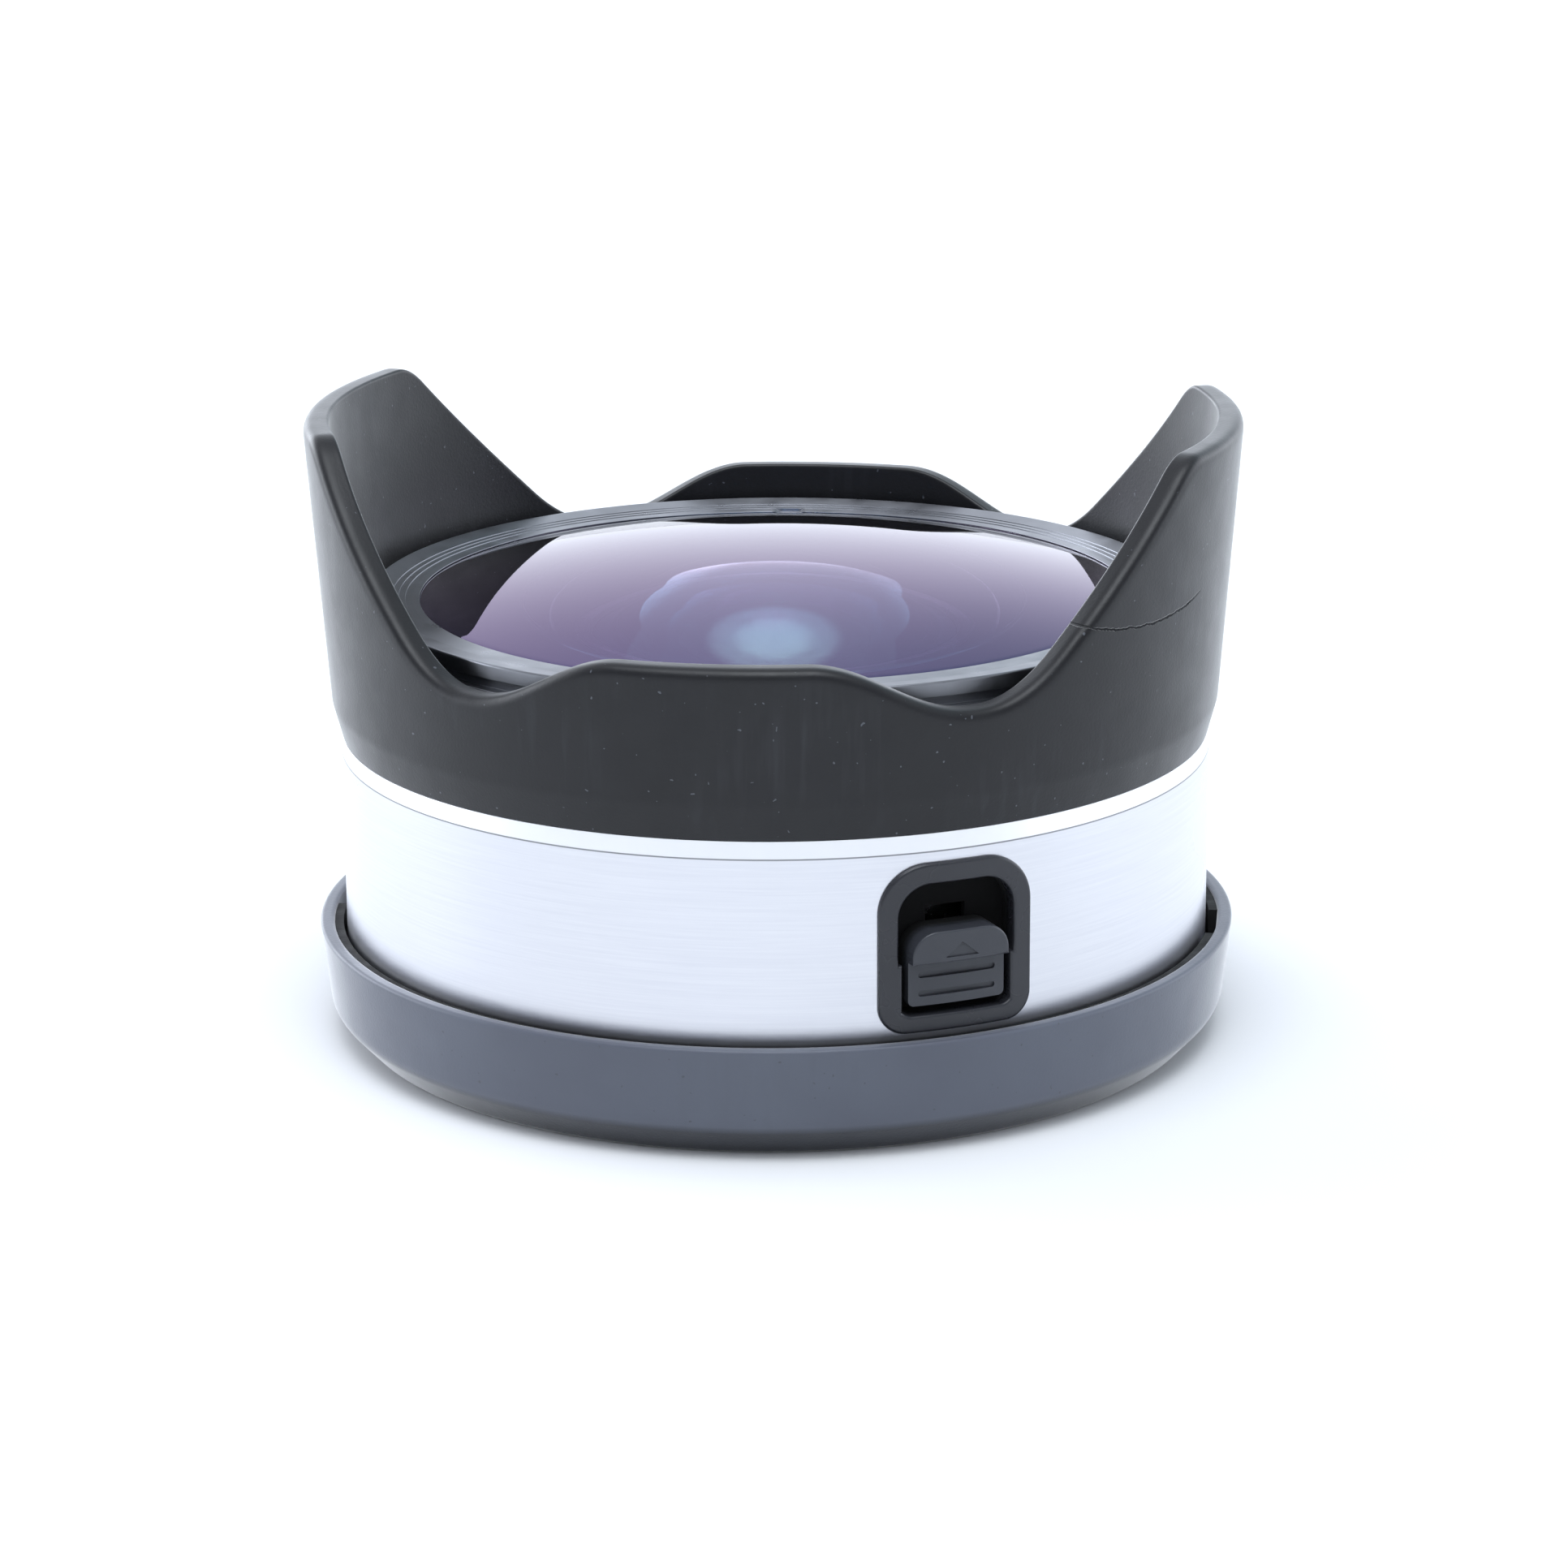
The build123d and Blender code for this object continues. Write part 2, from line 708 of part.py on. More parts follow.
# Black plate that closes the frame round the tail of the cell
baffle_bore = tail_radius + running
with BuildPart() as rear_baffle:
    with BuildSketch(Plane.XZ):
        Polygon(
            (baffle_bore, floor_top - baffle_thickness),
            (tube_radius, floor_top - baffle_thickness),
            (tube_radius, floor_top),
            (baffle_bore + baffle_thickness, floor_top),
        )
    revolve(axis=Axis.Z)
finish(rear_baffle, "rear_baffle")

# Front retaining ring: a flat face, fine steps down to the glass and a long skirt
face_bore = front_ring_radius - front_ring_face
steps = []
for step in range(front_ring_steps + 1):
    step_radius = face_bore - step * front_ring_step
    step_top = ring_top - step * front_ring_step_drop
    steps += [(step_radius, step_top), (step_radius, step_top - front_ring_step_drop)]
steps.pop()
lip_top = ring_top - front_ring_lip_drop
lip_base = front_apex - sagitta(front_curve, front_ring_bore) + fit
wall_base = ring_top - front_ring_wall
skirt_top = wall_base - front_ring_undercut_height
skirt_radius = front_ring_radius + front_ring_skirt_step
with BuildPart() as front_retaining_ring:
    with BuildSketch(Plane.XZ):
        Polygon(
            (front_ring_radius, ring_top),
            *steps,
            (front_ring_bore, lip_top),
            (front_ring_bore, lip_base),
            (glass_bore, lip_base),
            (glass_bore, cup_top + fit),
            (cell_cup_radius + fit, cup_top + fit),
            (cell_cup_radius + fit, hood_foot_top),
            (skirt_radius, hood_foot_top),
            (skirt_radius, skirt_top),
            (front_ring_radius - front_ring_undercut, skirt_top),
            (front_ring_radius - front_ring_undercut, wall_base),
            (front_ring_radius, wall_base),
        )
    revolve(axis=Axis.Z)
    with BuildSketch(Plane.XY.offset(lip_top)):
        with Locations(*seats(spread(spanner_slot_count, spanner_slot_azimuth), front_ring_bore, 0)):
            Rectangle(spanner_slot_width, 2 * spanner_slot_length)
    extrude(amount=-spanner_slot_depth, both=True, mode=Mode.SUBTRACT)
finish(front_retaining_ring, "front_retaining_ring")

# Petal hood: a drafted shell on a foot that the front ring clamps
hood_draft = hood_splay / (hood_tall_height - hood_flare_height)
moat_radius = hood_top_radius - hood_wall - hood_draft * (hood_tall_height - hood_foot_height)
rise_reach = (rise_start_angle - valley_end_angle) / 2 + rise_end_angle - rise_start_angle
edge_slope = (hood_tall_height - hood_valley_height) / rise_reach


def edge_height(angle):
    """Height of the hood's edge above the barrel, at an angle from a short petal's middle.

    A flat short petal falls in half a cosine wave to the valley, a parabola turns
    into a straight rise, and a second parabola rounds the tall petal's corner.
    """
    if angle <= short_petal_angle:
        return hood_short_height
    if angle < valley_start_angle:
        fall = 180 * (angle - short_petal_angle) / (valley_start_angle - short_petal_angle)
        return hood_valley_height + (hood_short_height - hood_valley_height) * (1 + cos(radians(fall))) / 2
    if angle <= valley_end_angle:
        return hood_valley_height
    if angle < rise_start_angle:
        bend = (angle - valley_end_angle) ** 2 / (2 * (rise_start_angle - valley_end_angle))
        return hood_valley_height + edge_slope * bend
    rise = hood_tall_height + edge_slope * (angle - rise_end_angle)
    if angle < rise_end_angle - corner_angle:
        return rise
    if angle < rise_end_angle + corner_angle:
        return rise - edge_slope * (angle - rise_end_angle + corner_angle) ** 2 / (4 * corner_angle)
    return hood_tall_height


def edge_curve(radius):
    """A quarter of the hood's edge, carried in or out to a radius."""
    angles = [90 * point / edge_points for point in range(edge_points + 1)]
    points = [polar(radius, angle, barrel_top + edge_height(angle)) for angle in angles]
    return Spline(*points, tangents=[(1, 0, 0), (0, 1, 0)])


with BuildPart() as petal_gaps:
    with BuildLine():
        inner_edge = edge_curve(hood_foot_bore)
        outer_edge = edge_curve(hood_top_radius + overrun)
    petal_rim = Face.make_surface_from_curves(inner_edge.edge(), outer_edge.edge())
    extrude(petal_rim, amount=hood_tall_height, dir=(0, 0, 1))
    mirror(about=Plane.XZ)
    mirror(about=Plane.YZ)

with BuildPart() as petal_hood:
    with BuildSketch(Plane.XZ) as section:
        Polygon(
            (hood_foot_bore, barrel_top),
            (barrel_radius - band_inset, barrel_top),
            (hood_flare_radius, barrel_top + hood_flare_height),
            (hood_top_radius, hood_top),
            (hood_top_radius - hood_wall, hood_top),
            (moat_radius, hood_foot_top),
            (hood_foot_bore, hood_foot_top),
        )
        fillet(section.vertices().sort_by_distance((moat_radius, hood_foot_top))[0], radius=hood_foot_round)
    revolve(axis=Axis.Z)
    add(petal_gaps.part, mode=Mode.SUBTRACT)
    rim_edges = petal_hood.edges().filter_by(
        lambda edge: edge.bounding_box().min.Z > hood_foot_top + hood_wall and edge.length > 2 * hood_wall
    )
    fillet(rim_edges, radius=hood_rim_round)
    with Locations(*seats(hood_screw_azimuths, hood_screw_circle, barrel_top, 180)):
        Hole(hood_screw_radius + fit, depth=hood_screw_depth + fit)
finish(petal_hood, "petal_hood")

# Screws from under the barrel's lip into the foot of the hood
lip_underside = barrel_top - sleeve_lip_height
hood_screw_tip = barrel_top + hood_screw_depth
with BuildPart() as hood_screws:
    for azimuth in hood_screw_azimuths:
        with BuildSketch(radial(azimuth)):
            Polygon(
                (hood_screw_circle, lip_underside - hood_screw_head_height),
                (hood_screw_circle + hood_screw_head_radius, lip_underside - hood_screw_head_height),
                (hood_screw_circle + hood_screw_head_radius, lip_underside),
                (hood_screw_circle + hood_screw_radius, lip_underside),
                (hood_screw_circle + hood_screw_radius, hood_screw_tip),
                (hood_screw_circle, hood_screw_tip),
            )
        revolve(axis=Axis(polar(hood_screw_circle, azimuth), (0, 0, 1)))
finish(hood_screws, "hood_screws")

# Release frame: a flange round the barrel's window and a body with a pocket
bezel_back_radius = barrel_radius - bezel_depth
pocket_width = bezel_width - 2 * pocket_side_border
pocket_height = bezel_height - 2 * pocket_border
pocket_middle = release_middle - pocket_drop
pocket_base = pocket_middle - pocket_height / 2
pocket_floor = bezel_back_radius + bezel_back_wall
pocket_shoulder_height = pocket_shoulder_share * pocket_height
bezel_radius = barrel_radius + bezel_proud
slide_panel_height = slide_panel_share * pocket_height
slide_head_height = slide_head_share * pocket_height
slide_height = slide_panel_height + slide_head_height
slide_travel = pocket_height - slide_height - slide_foot_gap - slide_end_gap
slide_base = pocket_base + slide_foot_gap
head_base = slide_base + slide_panel_height
stem_height = stem_height_share * slide_height
stem_base = slide_base + stem_lift_share * slide_height

with BuildPart() as bezel_flange:
    with BuildSketch(release_face.offset(column_radius)):
        add(bezel_panel(0))
    extrude(amount=barrel_radius)
    Cylinder(bezel_radius, 2 * hood_top, mode=Mode.INTERSECT)
    Cylinder(barrel_radius + fit, 2 * hood_top, mode=Mode.SUBTRACT)

with BuildPart() as release_bezel:
    with BuildSketch(release_face.offset(bezel_back_radius)):
        add(bezel_panel(bezel_margin + fit))
    extrude(amount=barrel_radius)
    Cylinder(bezel_radius, 2 * hood_top, mode=Mode.INTERSECT)
    add(bezel_flange.part)
    with BuildSketch(release_face.offset(pocket_floor)):
        add(release_panel(pocket_width, pocket_height, pocket_top_round, pocket_foot_round, pocket_middle))
        shoulder_middle = pocket_base + pocket_shoulder_height / 2
        with Locations((-pocket_width / 2, shoulder_middle), (pocket_width / 2, shoulder_middle)):
            Rectangle(2 * pocket_shoulder, pocket_shoulder_height, mode=Mode.SUBTRACT)
    extrude(amount=barrel_radius, mode=Mode.SUBTRACT)
    with BuildSketch(release_face.offset(bezel_back_radius)):
        with Locations((0, stem_base + (stem_height + slide_travel) / 2)):
            Rectangle(stem_width + 2 * running, stem_height + slide_travel + 2 * running)
    extrude(amount=bezel_back_wall, mode=Mode.SUBTRACT)
    bezel_face = release_bezel.faces().filter_by(GeomType.CYLINDER).sort_by(SortBy.AREA)[-1]
    fillet(bezel_face.edges(), radius=bezel_edge_round)
finish(release_bezel, "release_bezel")

# Release slide: a raised head with an arrow over a grooved thumb panel, on a stem
slide_back = pocket_floor + slide_back_gap
slide_width = pocket_width - 2 * slide_side_gap
slide_head_radius = barrel_radius + slide_head_proud
slide_panel_radius = barrel_radius + slide_panel_proud
plate_back_radius = barrel_radius - plate_inset
with BuildPart() as slide_head:
    with BuildSketch(release_face.offset(slide_back)) as section:
        with Locations((0, head_base + slide_head_height / 2)):
            Rectangle(slide_width, slide_head_height)
        fillet(section.vertices().group_by(Axis.Y)[-1], radius=slide_head_round_share * slide_head_height)
    extrude(amount=barrel_radius)
    Cylinder(slide_head_radius, 2 * hood_top, mode=Mode.INTERSECT)
    head_face = slide_head.faces().filter_by(GeomType.CYLINDER).sort_by(SortBy.AREA)[-1]
    fillet(head_face.edges(), radius=slide_edge_round)
    with BuildSketch(release_face.offset(slide_head_radius - arrow_depth)):
        arrow_base = head_base + arrow_lift
        Polygon((-arrow_width / 2, arrow_base), (arrow_width / 2, arrow_base), (0, arrow_base + arrow_height))
    extrude(amount=barrel_radius, mode=Mode.SUBTRACT)

with BuildPart() as release_slide:
    with BuildSketch(release_face.offset(slide_back)) as section:
        with Locations((0, slide_base + slide_panel_height / 2)):
            Rectangle(slide_width, slide_panel_height)
        fillet(section.vertices().group_by(Axis.Y)[0], radius=slide_foot_round)
    extrude(amount=barrel_radius)
    Cylinder(slide_panel_radius, 2 * hood_top, mode=Mode.INTERSECT)
    with BuildSketch(release_face.offset(slide_panel_radius - groove_depth)):
        with Locations(*[(0, slide_base + share * slide_panel_height) for share in groove_shares]):
            SlotOverall(slide_width - 2 * groove_margin, groove_height)
    extrude(amount=barrel_radius, mode=Mode.SUBTRACT)
    add(slide_head.part)
    with BuildSketch(release_face.offset(plate_back_radius - stem_tip)):
        with Locations((0, stem_base + stem_height / 2)):
            Rectangle(stem_width, stem_height)
    extrude(amount=slide_back - plate_back_radius + stem_tip)
finish(release_slide, "release_slide")

# Slide plate: a bent steel plate behind the frame, one tab for the pin, one for the spring
plate_base = slide_base + plate_foot
plate_top = plate_base + slide_height
with BuildPart() as slide_plate:
    with BuildSketch(release_face.offset(plate_back_radius)):
        with Locations((0, plate_base + slide_height / 2)):
            Rectangle(plate_width, slide_height)
        with Locations((0, stem_base + stem_height / 2)):
            Rectangle(stem_width + 2 * fit, stem_height + 2 * fit, mode=Mode.SUBTRACT)
    extrude(amount=plate_thickness)
    with BuildSketch(release_face.offset(plate_back_radius)):
        with Locations((0, plate_base + tab_thickness / 2)):
            Rectangle(tab_width, tab_thickness)
    extrude(amount=foot_tab_reach)
    with BuildSketch(release_face.offset(plate_back_radius)):
        with Locations((0, plate_top - tab_thickness / 2)):
            Rectangle(tab_width, tab_thickness)
    extrude(amount=-spring_tab_reach)
    with Locations(*seats([release_azimuth], pin_circle, plate_base + tab_thickness)):
        Hole(pin_spigot_radius + fit, depth=tab_thickness)
finish(slide_plate, "slide_plate")

with BuildPart() as lock_pin:
    with BuildSketch(radial(release_azimuth)) as section:
        Polygon(
            (pin_circle, pilot_base - pin_reach),
            (pin_circle + pin_radius, pilot_base - pin_reach),
            (pin_circle + pin_radius, plate_base),
            (pin_circle + pin_spigot_radius, plate_base),
            (pin_circle + pin_spigot_radius, plate_base + tab_thickness + pin_spigot_height),
            (pin_circle, plate_base + tab_thickness + pin_spigot_height),
        )
        chamfer(section.vertices().group_by(Axis.Y)[0].sort_by(Axis.X)[-1], length=pin_tip_chamfer)
    revolve(axis=Axis(polar(pin_circle, release_azimuth), (0, 0, 1)))
finish(lock_pin, "lock_pin")

# Release spring between the plate's tab and the cell
spring_circle = plate_back_radius - spring_inset
spring_length = column_top - plate_top
spring_height = spring_length - 2 * spring_wire_radius
with BuildPart() as release_spring:
    with BuildLine():
        wire = Helix(
            pitch=spring_height / spring_turns,
            height=spring_height,
            radius=spring_coil_radius,
            center=polar(spring_circle, release_azimuth, plate_top + spring_wire_radius),
        )
    with BuildSketch(Plane(wire @ 0, z_dir=wire % 0)):
        Circle(spring_wire_radius)
    sweep()
finish(release_spring, "release_spring")
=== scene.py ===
# %% [markdown]
# # A fisheye lens on its rear cap
#
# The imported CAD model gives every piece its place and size. This notebook dresses it: the
# turned, moulded and ground pieces that show are worked out again as smooth numpy surfaces, and
# every piece gets a material that is built from what the real one is made of.

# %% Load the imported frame
import json

import bmesh
import bpy
import numpy as np
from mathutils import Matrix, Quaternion, Vector

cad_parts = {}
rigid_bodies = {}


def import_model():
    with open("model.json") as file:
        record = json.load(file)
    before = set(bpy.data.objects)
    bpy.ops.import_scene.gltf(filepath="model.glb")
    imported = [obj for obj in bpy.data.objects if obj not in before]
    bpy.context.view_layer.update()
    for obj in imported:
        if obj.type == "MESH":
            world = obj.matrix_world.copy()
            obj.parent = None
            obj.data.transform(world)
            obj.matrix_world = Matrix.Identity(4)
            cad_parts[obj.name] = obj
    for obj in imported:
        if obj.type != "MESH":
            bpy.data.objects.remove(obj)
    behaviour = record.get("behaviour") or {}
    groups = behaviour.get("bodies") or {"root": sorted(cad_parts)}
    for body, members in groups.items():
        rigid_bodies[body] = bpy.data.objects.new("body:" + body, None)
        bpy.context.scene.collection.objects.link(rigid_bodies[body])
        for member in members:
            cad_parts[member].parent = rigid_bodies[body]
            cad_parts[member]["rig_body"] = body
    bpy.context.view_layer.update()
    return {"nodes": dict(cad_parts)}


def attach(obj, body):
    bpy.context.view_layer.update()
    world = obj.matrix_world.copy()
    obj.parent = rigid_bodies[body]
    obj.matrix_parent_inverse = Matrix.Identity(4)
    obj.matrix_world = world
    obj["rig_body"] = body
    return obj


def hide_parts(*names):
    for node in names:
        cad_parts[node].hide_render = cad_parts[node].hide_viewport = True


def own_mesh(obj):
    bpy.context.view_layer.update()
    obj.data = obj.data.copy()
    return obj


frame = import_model()
nodes = frame["nodes"]
mm = 0.001

# %% [markdown]
# ## The camera
#
# A pinhole camera was fitted to the ellipses of the cap, barrel and hood in the photograph. It
# stands low in front of a short petal, a little to the right, and is turned by a third of a
# degree. The camera is moved sideways rather than shifted, so that its other views stay centred.

# %% Set up the camera
camera_distance = 350 * mm
camera_aim = Vector((0, 0, 17.03 * mm))
camera_side_step = 0.6 * mm
azimuth, elevation, roll = np.radians((7.5, 16.06, -0.313))
camera_back = Vector(
    (np.sin(azimuth) * np.cos(elevation), -np.cos(azimuth) * np.cos(elevation), np.sin(elevation))
)
camera_data = bpy.data.cameras.new("photo_camera")
camera_data.lens, camera_data.sensor_width = 111.65, 36
camera_data.clip_start, camera_data.clip_end = 0.01, 20
camera = bpy.data.objects.new("photo_camera", camera_data)
bpy.context.scene.collection.objects.link(camera)
bpy.context.scene.camera = camera
camera.rotation_mode = "QUATERNION"
facing = (-camera_back).to_track_quat("-Z", "Y")
camera.rotation_quaternion = facing @ Quaternion((0, 0, 1), roll)
camera.location = camera_aim + camera_distance * camera_back + facing @ Vector((camera_side_step, 0, 0))
print("camera at", [round(value / mm, 1) for value in camera.location], "mm")

# %% [markdown]
# ## The tools for shapes
#
# Most pieces here are turned or moulded round one axis, so one idea makes nearly all of them: a
# closed outline of (radius, height) points that may change as it goes round. A real edge is never
# perfectly sharp. Each corner is cut by a short parabola, and a holding point on either side of
# it keeps the flat faces flat when the mesh is shaded smooth.


# %% Round the corners of an outline, and sweep it round the axis
def rounded(corners, before, after=None, steps=4):
    """Outlines with softened corners, from corners in the shape (..., corner, 2).

    A corner C gives way to (1 - s)^2 A + 2 s (1 - s) C + s^2 B for s from 0 to 1, where A and B
    lie on its two runs, `before` and `after` it by those lengths.
    """
    corners = np.asarray(corners, float)
    before = np.broadcast_to(before, corners.shape[:-1])[..., None]
    after = before if after is None else np.broadcast_to(after, corners.shape[:-1])[..., None]

    def towards(neighbour):
        run = neighbour - corners
        return run / np.linalg.norm(run, axis=-1, keepdims=True)

    back = towards(np.roll(corners, 1, axis=-2)) * before
    forth = towards(np.roll(corners, -1, axis=-2)) * after
    s = np.linspace(0, 1, steps + 1)[:, None]
    start, middle, end = ((corners + step)[..., None, :] for step in (back, 0 * back, forth))
    arc = (1 - s) ** 2 * start + 2 * s * (1 - s) * middle + s**2 * end
    hold = 1.35
    held = [(corners + hold * step)[..., None, :] for step in (back, forth)]
    whole = np.concatenate((held[0], arc, held[1]), -2)
    return whole.reshape(*corners.shape[:-2], -1, 2)


def around(outline, turns=288):
    """Points (azimuth, outline, 3): an outline, or one outline for each azimuth, swept round Z.

    A point at radius r, height z and azimuth a stands at (r sin a, -r cos a, z).
    """
    angle = np.linspace(0, 2 * np.pi, turns, endpoint=False)[:, None]
    outline = np.broadcast_to(outline, (turns, *np.shape(outline)[-2:]))
    radius, height = outline[..., 0], outline[..., 1]
    return np.stack((radius * np.sin(angle), -radius * np.cos(angle), height), -1)


def skin(name, points, closed=(True, True)):
    """An object whose surface is a grid of points in millimetres, shape (along, across, 3)."""
    rows, columns = points.shape[:2]
    index = np.arange(rows * columns).reshape(rows, columns)
    right, down = np.roll(index, -1, axis=1), np.roll(index, -1, axis=0)
    quads = np.stack((index, down, np.roll(down, -1, axis=1), right), -1)
    quads = quads[: rows if closed[0] else rows - 1, : columns if closed[1] else columns - 1]
    mesh = bpy.data.meshes.new(name)
    mesh.from_pydata((points.reshape(-1, 3) * mm).tolist(), [], quads.reshape(-1, 4).tolist())
    work = bmesh.new()
    work.from_mesh(mesh)
    bmesh.ops.remove_doubles(work, verts=work.verts, dist=1e-4 * mm)
    bmesh.ops.recalc_face_normals(work, faces=work.faces)
    work.to_mesh(mesh)
    work.free()
    mesh.shade_smooth()
    piece = bpy.data.objects.new(name, mesh)
    bpy.context.scene.collection.objects.link(piece)
    print(f"{name}: {len(mesh.polygons)} faces")
    return piece


def stand_in(piece):
    """Let a finished piece stand for the CAD node of its name, on that node's body."""
    node = piece.name.removesuffix("_surface")
    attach(piece, nodes[node]["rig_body"])
    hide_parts(node)
    return piece


# %% [markdown]
# ## The tools for materials
#
# A material is a small graph of nodes. One function adds a node with its settings and links, and
# another turns the colours, written as sRGB hex, into linear light.


# %% Colours and nodes
def linear(hex_colour):
    """sRGB hex to linear RGBA: v / 12.92 below 0.04045, otherwise ((v + 0.055) / 1.055)^2.4."""
    value = np.array([int(hex_colour[i : i + 2], 16) for i in (0, 2, 4)]) / 255
    value = np.where(value < 0.04045, value / 12.92, ((value + 0.055) / 1.055) ** 2.4)
    return (*value.tolist(), 1.0)


def add(material, kind, inputs=None, **settings):
    """Add a node of a kind, with its properties, and with each input set to a value or linked."""
    node = material.node_tree.nodes.new(kind)
    for name, value in settings.items():
        setattr(node, name, value)
    for name, value in (inputs or {}).items():
        if isinstance(value, bpy.types.NodeSocket):
            material.node_tree.links.new(value, node.inputs[name])
        else:
            node.inputs[name].default_value = value
    return node


def new_material(name):
    """An empty material, and the Object coordinates that its patterns are laid out in."""
    material = bpy.data.materials.new(name)
    material.use_nodes = True
    material.node_tree.nodes.clear()
    return material, add(material, "ShaderNodeTexCoord").outputs["Object"]


def shade(material, **inputs):
    """End a material in a Principled shader; an input's words are joined by underscores."""
    named = {key.replace("_", " "): value for key, value in inputs.items()}
    shader = add(material, "ShaderNodeBsdfPrincipled", named)
    add(material, "ShaderNodeOutputMaterial", {"Surface": shader.outputs["BSDF"]})
    return material


def cloudy(material, place, size, low, high, detail=2):
    """A value that drifts between low and high over patches of a size in millimetres."""
    pattern = {"Vector": place, "Scale": 1 / (size * mm), "Detail": detail}
    noise = add(material, "ShaderNodeTexNoise", pattern).outputs["Fac"]
    span = {"Value": noise, "From Min": 0.3, "From Max": 0.7, "To Min": low, "To Max": high}
    return add(material, "ShaderNodeMapRange", span).outputs["Result"]


def between(material, share, first, second):
    """A colour that goes from the first to the second with a share; each is a hex value or a socket."""
    mix = add(material, "ShaderNodeMix", {"Factor": share}, data_type="RGBA")
    for name, value in (("A", first), ("B", second)):
        if isinstance(value, str):
            mix.inputs[name].default_value = linear(value)
        else:
            material.node_tree.links.new(value, mix.inputs[name])
    return mix.outputs["Result"]


def relief(material, height, depth, normal=None):
    """Bump from a height between 0 and 1, with a depth in millimetres."""
    inputs = {"Height": height, "Distance": depth * mm, "Strength": 1.0}
    if normal is not None:
        inputs["Normal"] = normal
    return add(material, "ShaderNodeBump", inputs).outputs["Normal"]


# %% [markdown]
# ## The moulded plastics
#
# The hood and the cap are injection moulded ABS. The mould is spark eroded, which leaves a fine,
# even grain of about a tenth of a millimetre: it spreads a highlight into a soft sheen and makes
# the plastic look lighter at a grazing angle. The grain is drawn at a fifth of a millimetre here,
# as a finer one would not show.
#
# The hood has been handled: it has pale rubs, dust, and a hairline crack in one tall petal. All of
# them are worked out from the place on the surface, so that they stay put from every side.
#
# Two places are painted darker than the plastic is: the cap's shoulder and the depth of the slide's
# pocket. Both lie in deep shade in the photograph, and this bright tent gives them too little of
# it. The paint stays when the light changes, so it is a makeshift and not a finish of the real
# piece.


# %% Wear and a hairline crack
def clamped(material, value, low, high, to_low=0.0, to_high=1.0):
    """A value between low and high brought to the range from to_low to to_high, and held there."""
    span = {"Value": value, "From Min": low, "From Max": high, "To Min": to_low, "To Max": to_high}
    return add(material, "ShaderNodeMapRange", span).outputs["Result"]


def reckon(material, operation, first, second=0.0):
    """One step of arithmetic on values that vary over the surface."""
    return add(material, "ShaderNodeMath", {0: first, 1: second}, operation=operation).outputs["Value"]


def wear(material, place):
    """Where handling has left its mark: pale rubs that run along the axis, in patches, and dust."""
    rub_width, patch_size, rub_strength, dust_spacing = 0.8, 9.0, 0.12, 0.3
    drawn_out = add(material, "ShaderNodeMapping", {"Vector": place, "Scale": (1.0, 1.0, 0.06)})
    rubs = cloudy(material, drawn_out.outputs["Vector"], rub_width, -1.0, 1.0)
    patches = cloudy(material, place, patch_size, -1.0, 1.0)
    shares = [clamped(material, value, 0.0, 1.0) for value in (rubs, patches)]
    rubbed = reckon(material, "MULTIPLY", *shares)
    noise = {"Vector": place, "Scale": 1 / (dust_spacing * mm), "Detail": 0.0}
    dust = add(material, "ShaderNodeTexNoise", noise).outputs["Fac"]
    specks = clamped(material, dust, 0.83, 0.86)
    return reckon(material, "MAXIMUM", reckon(material, "MULTIPLY", rubbed, rub_strength), specks)


def crack(material, place):
    """A share that is 1 on the crack in a tall petal.

    Its height over the azimuth a is a parabola, 33.86 mm + 19.1 mm (a - 60 degrees)^2 with the
    angle in radians, and it runs from 46 to 71 degrees. A little noise makes it waver.
    """
    lowest_at, curvature, crack_middle = np.radians(60.0), 19.1, 1.02
    at = add(material, "ShaderNodeSeparateXYZ", {"Vector": place}).outputs
    azimuth = reckon(material, "ARCTAN2", at["X"], reckon(material, "MULTIPLY", at["Y"], -1.0))
    offset = reckon(material, "SUBTRACT", azimuth, lowest_at)
    parabola = reckon(material, "MULTIPLY", reckon(material, "MULTIPLY", offset, offset), curvature * mm)
    waver = cloudy(material, place, 0.7, 33.8 * mm, 33.92 * mm)
    away = reckon(material, "SUBTRACT", at["Z"], reckon(material, "ADD", parabola, waver))
    line = clamped(material, reckon(material, "ABSOLUTE", away), 0.06 * mm, 0.11 * mm, 1.0, 0.0)
    along = reckon(material, "ABSOLUTE", reckon(material, "SUBTRACT", azimuth, crack_middle))
    span = clamped(material, along, 0.16, 0.23, 1.0, 0.0)
    return reckon(material, "MULTIPLY", line, span)


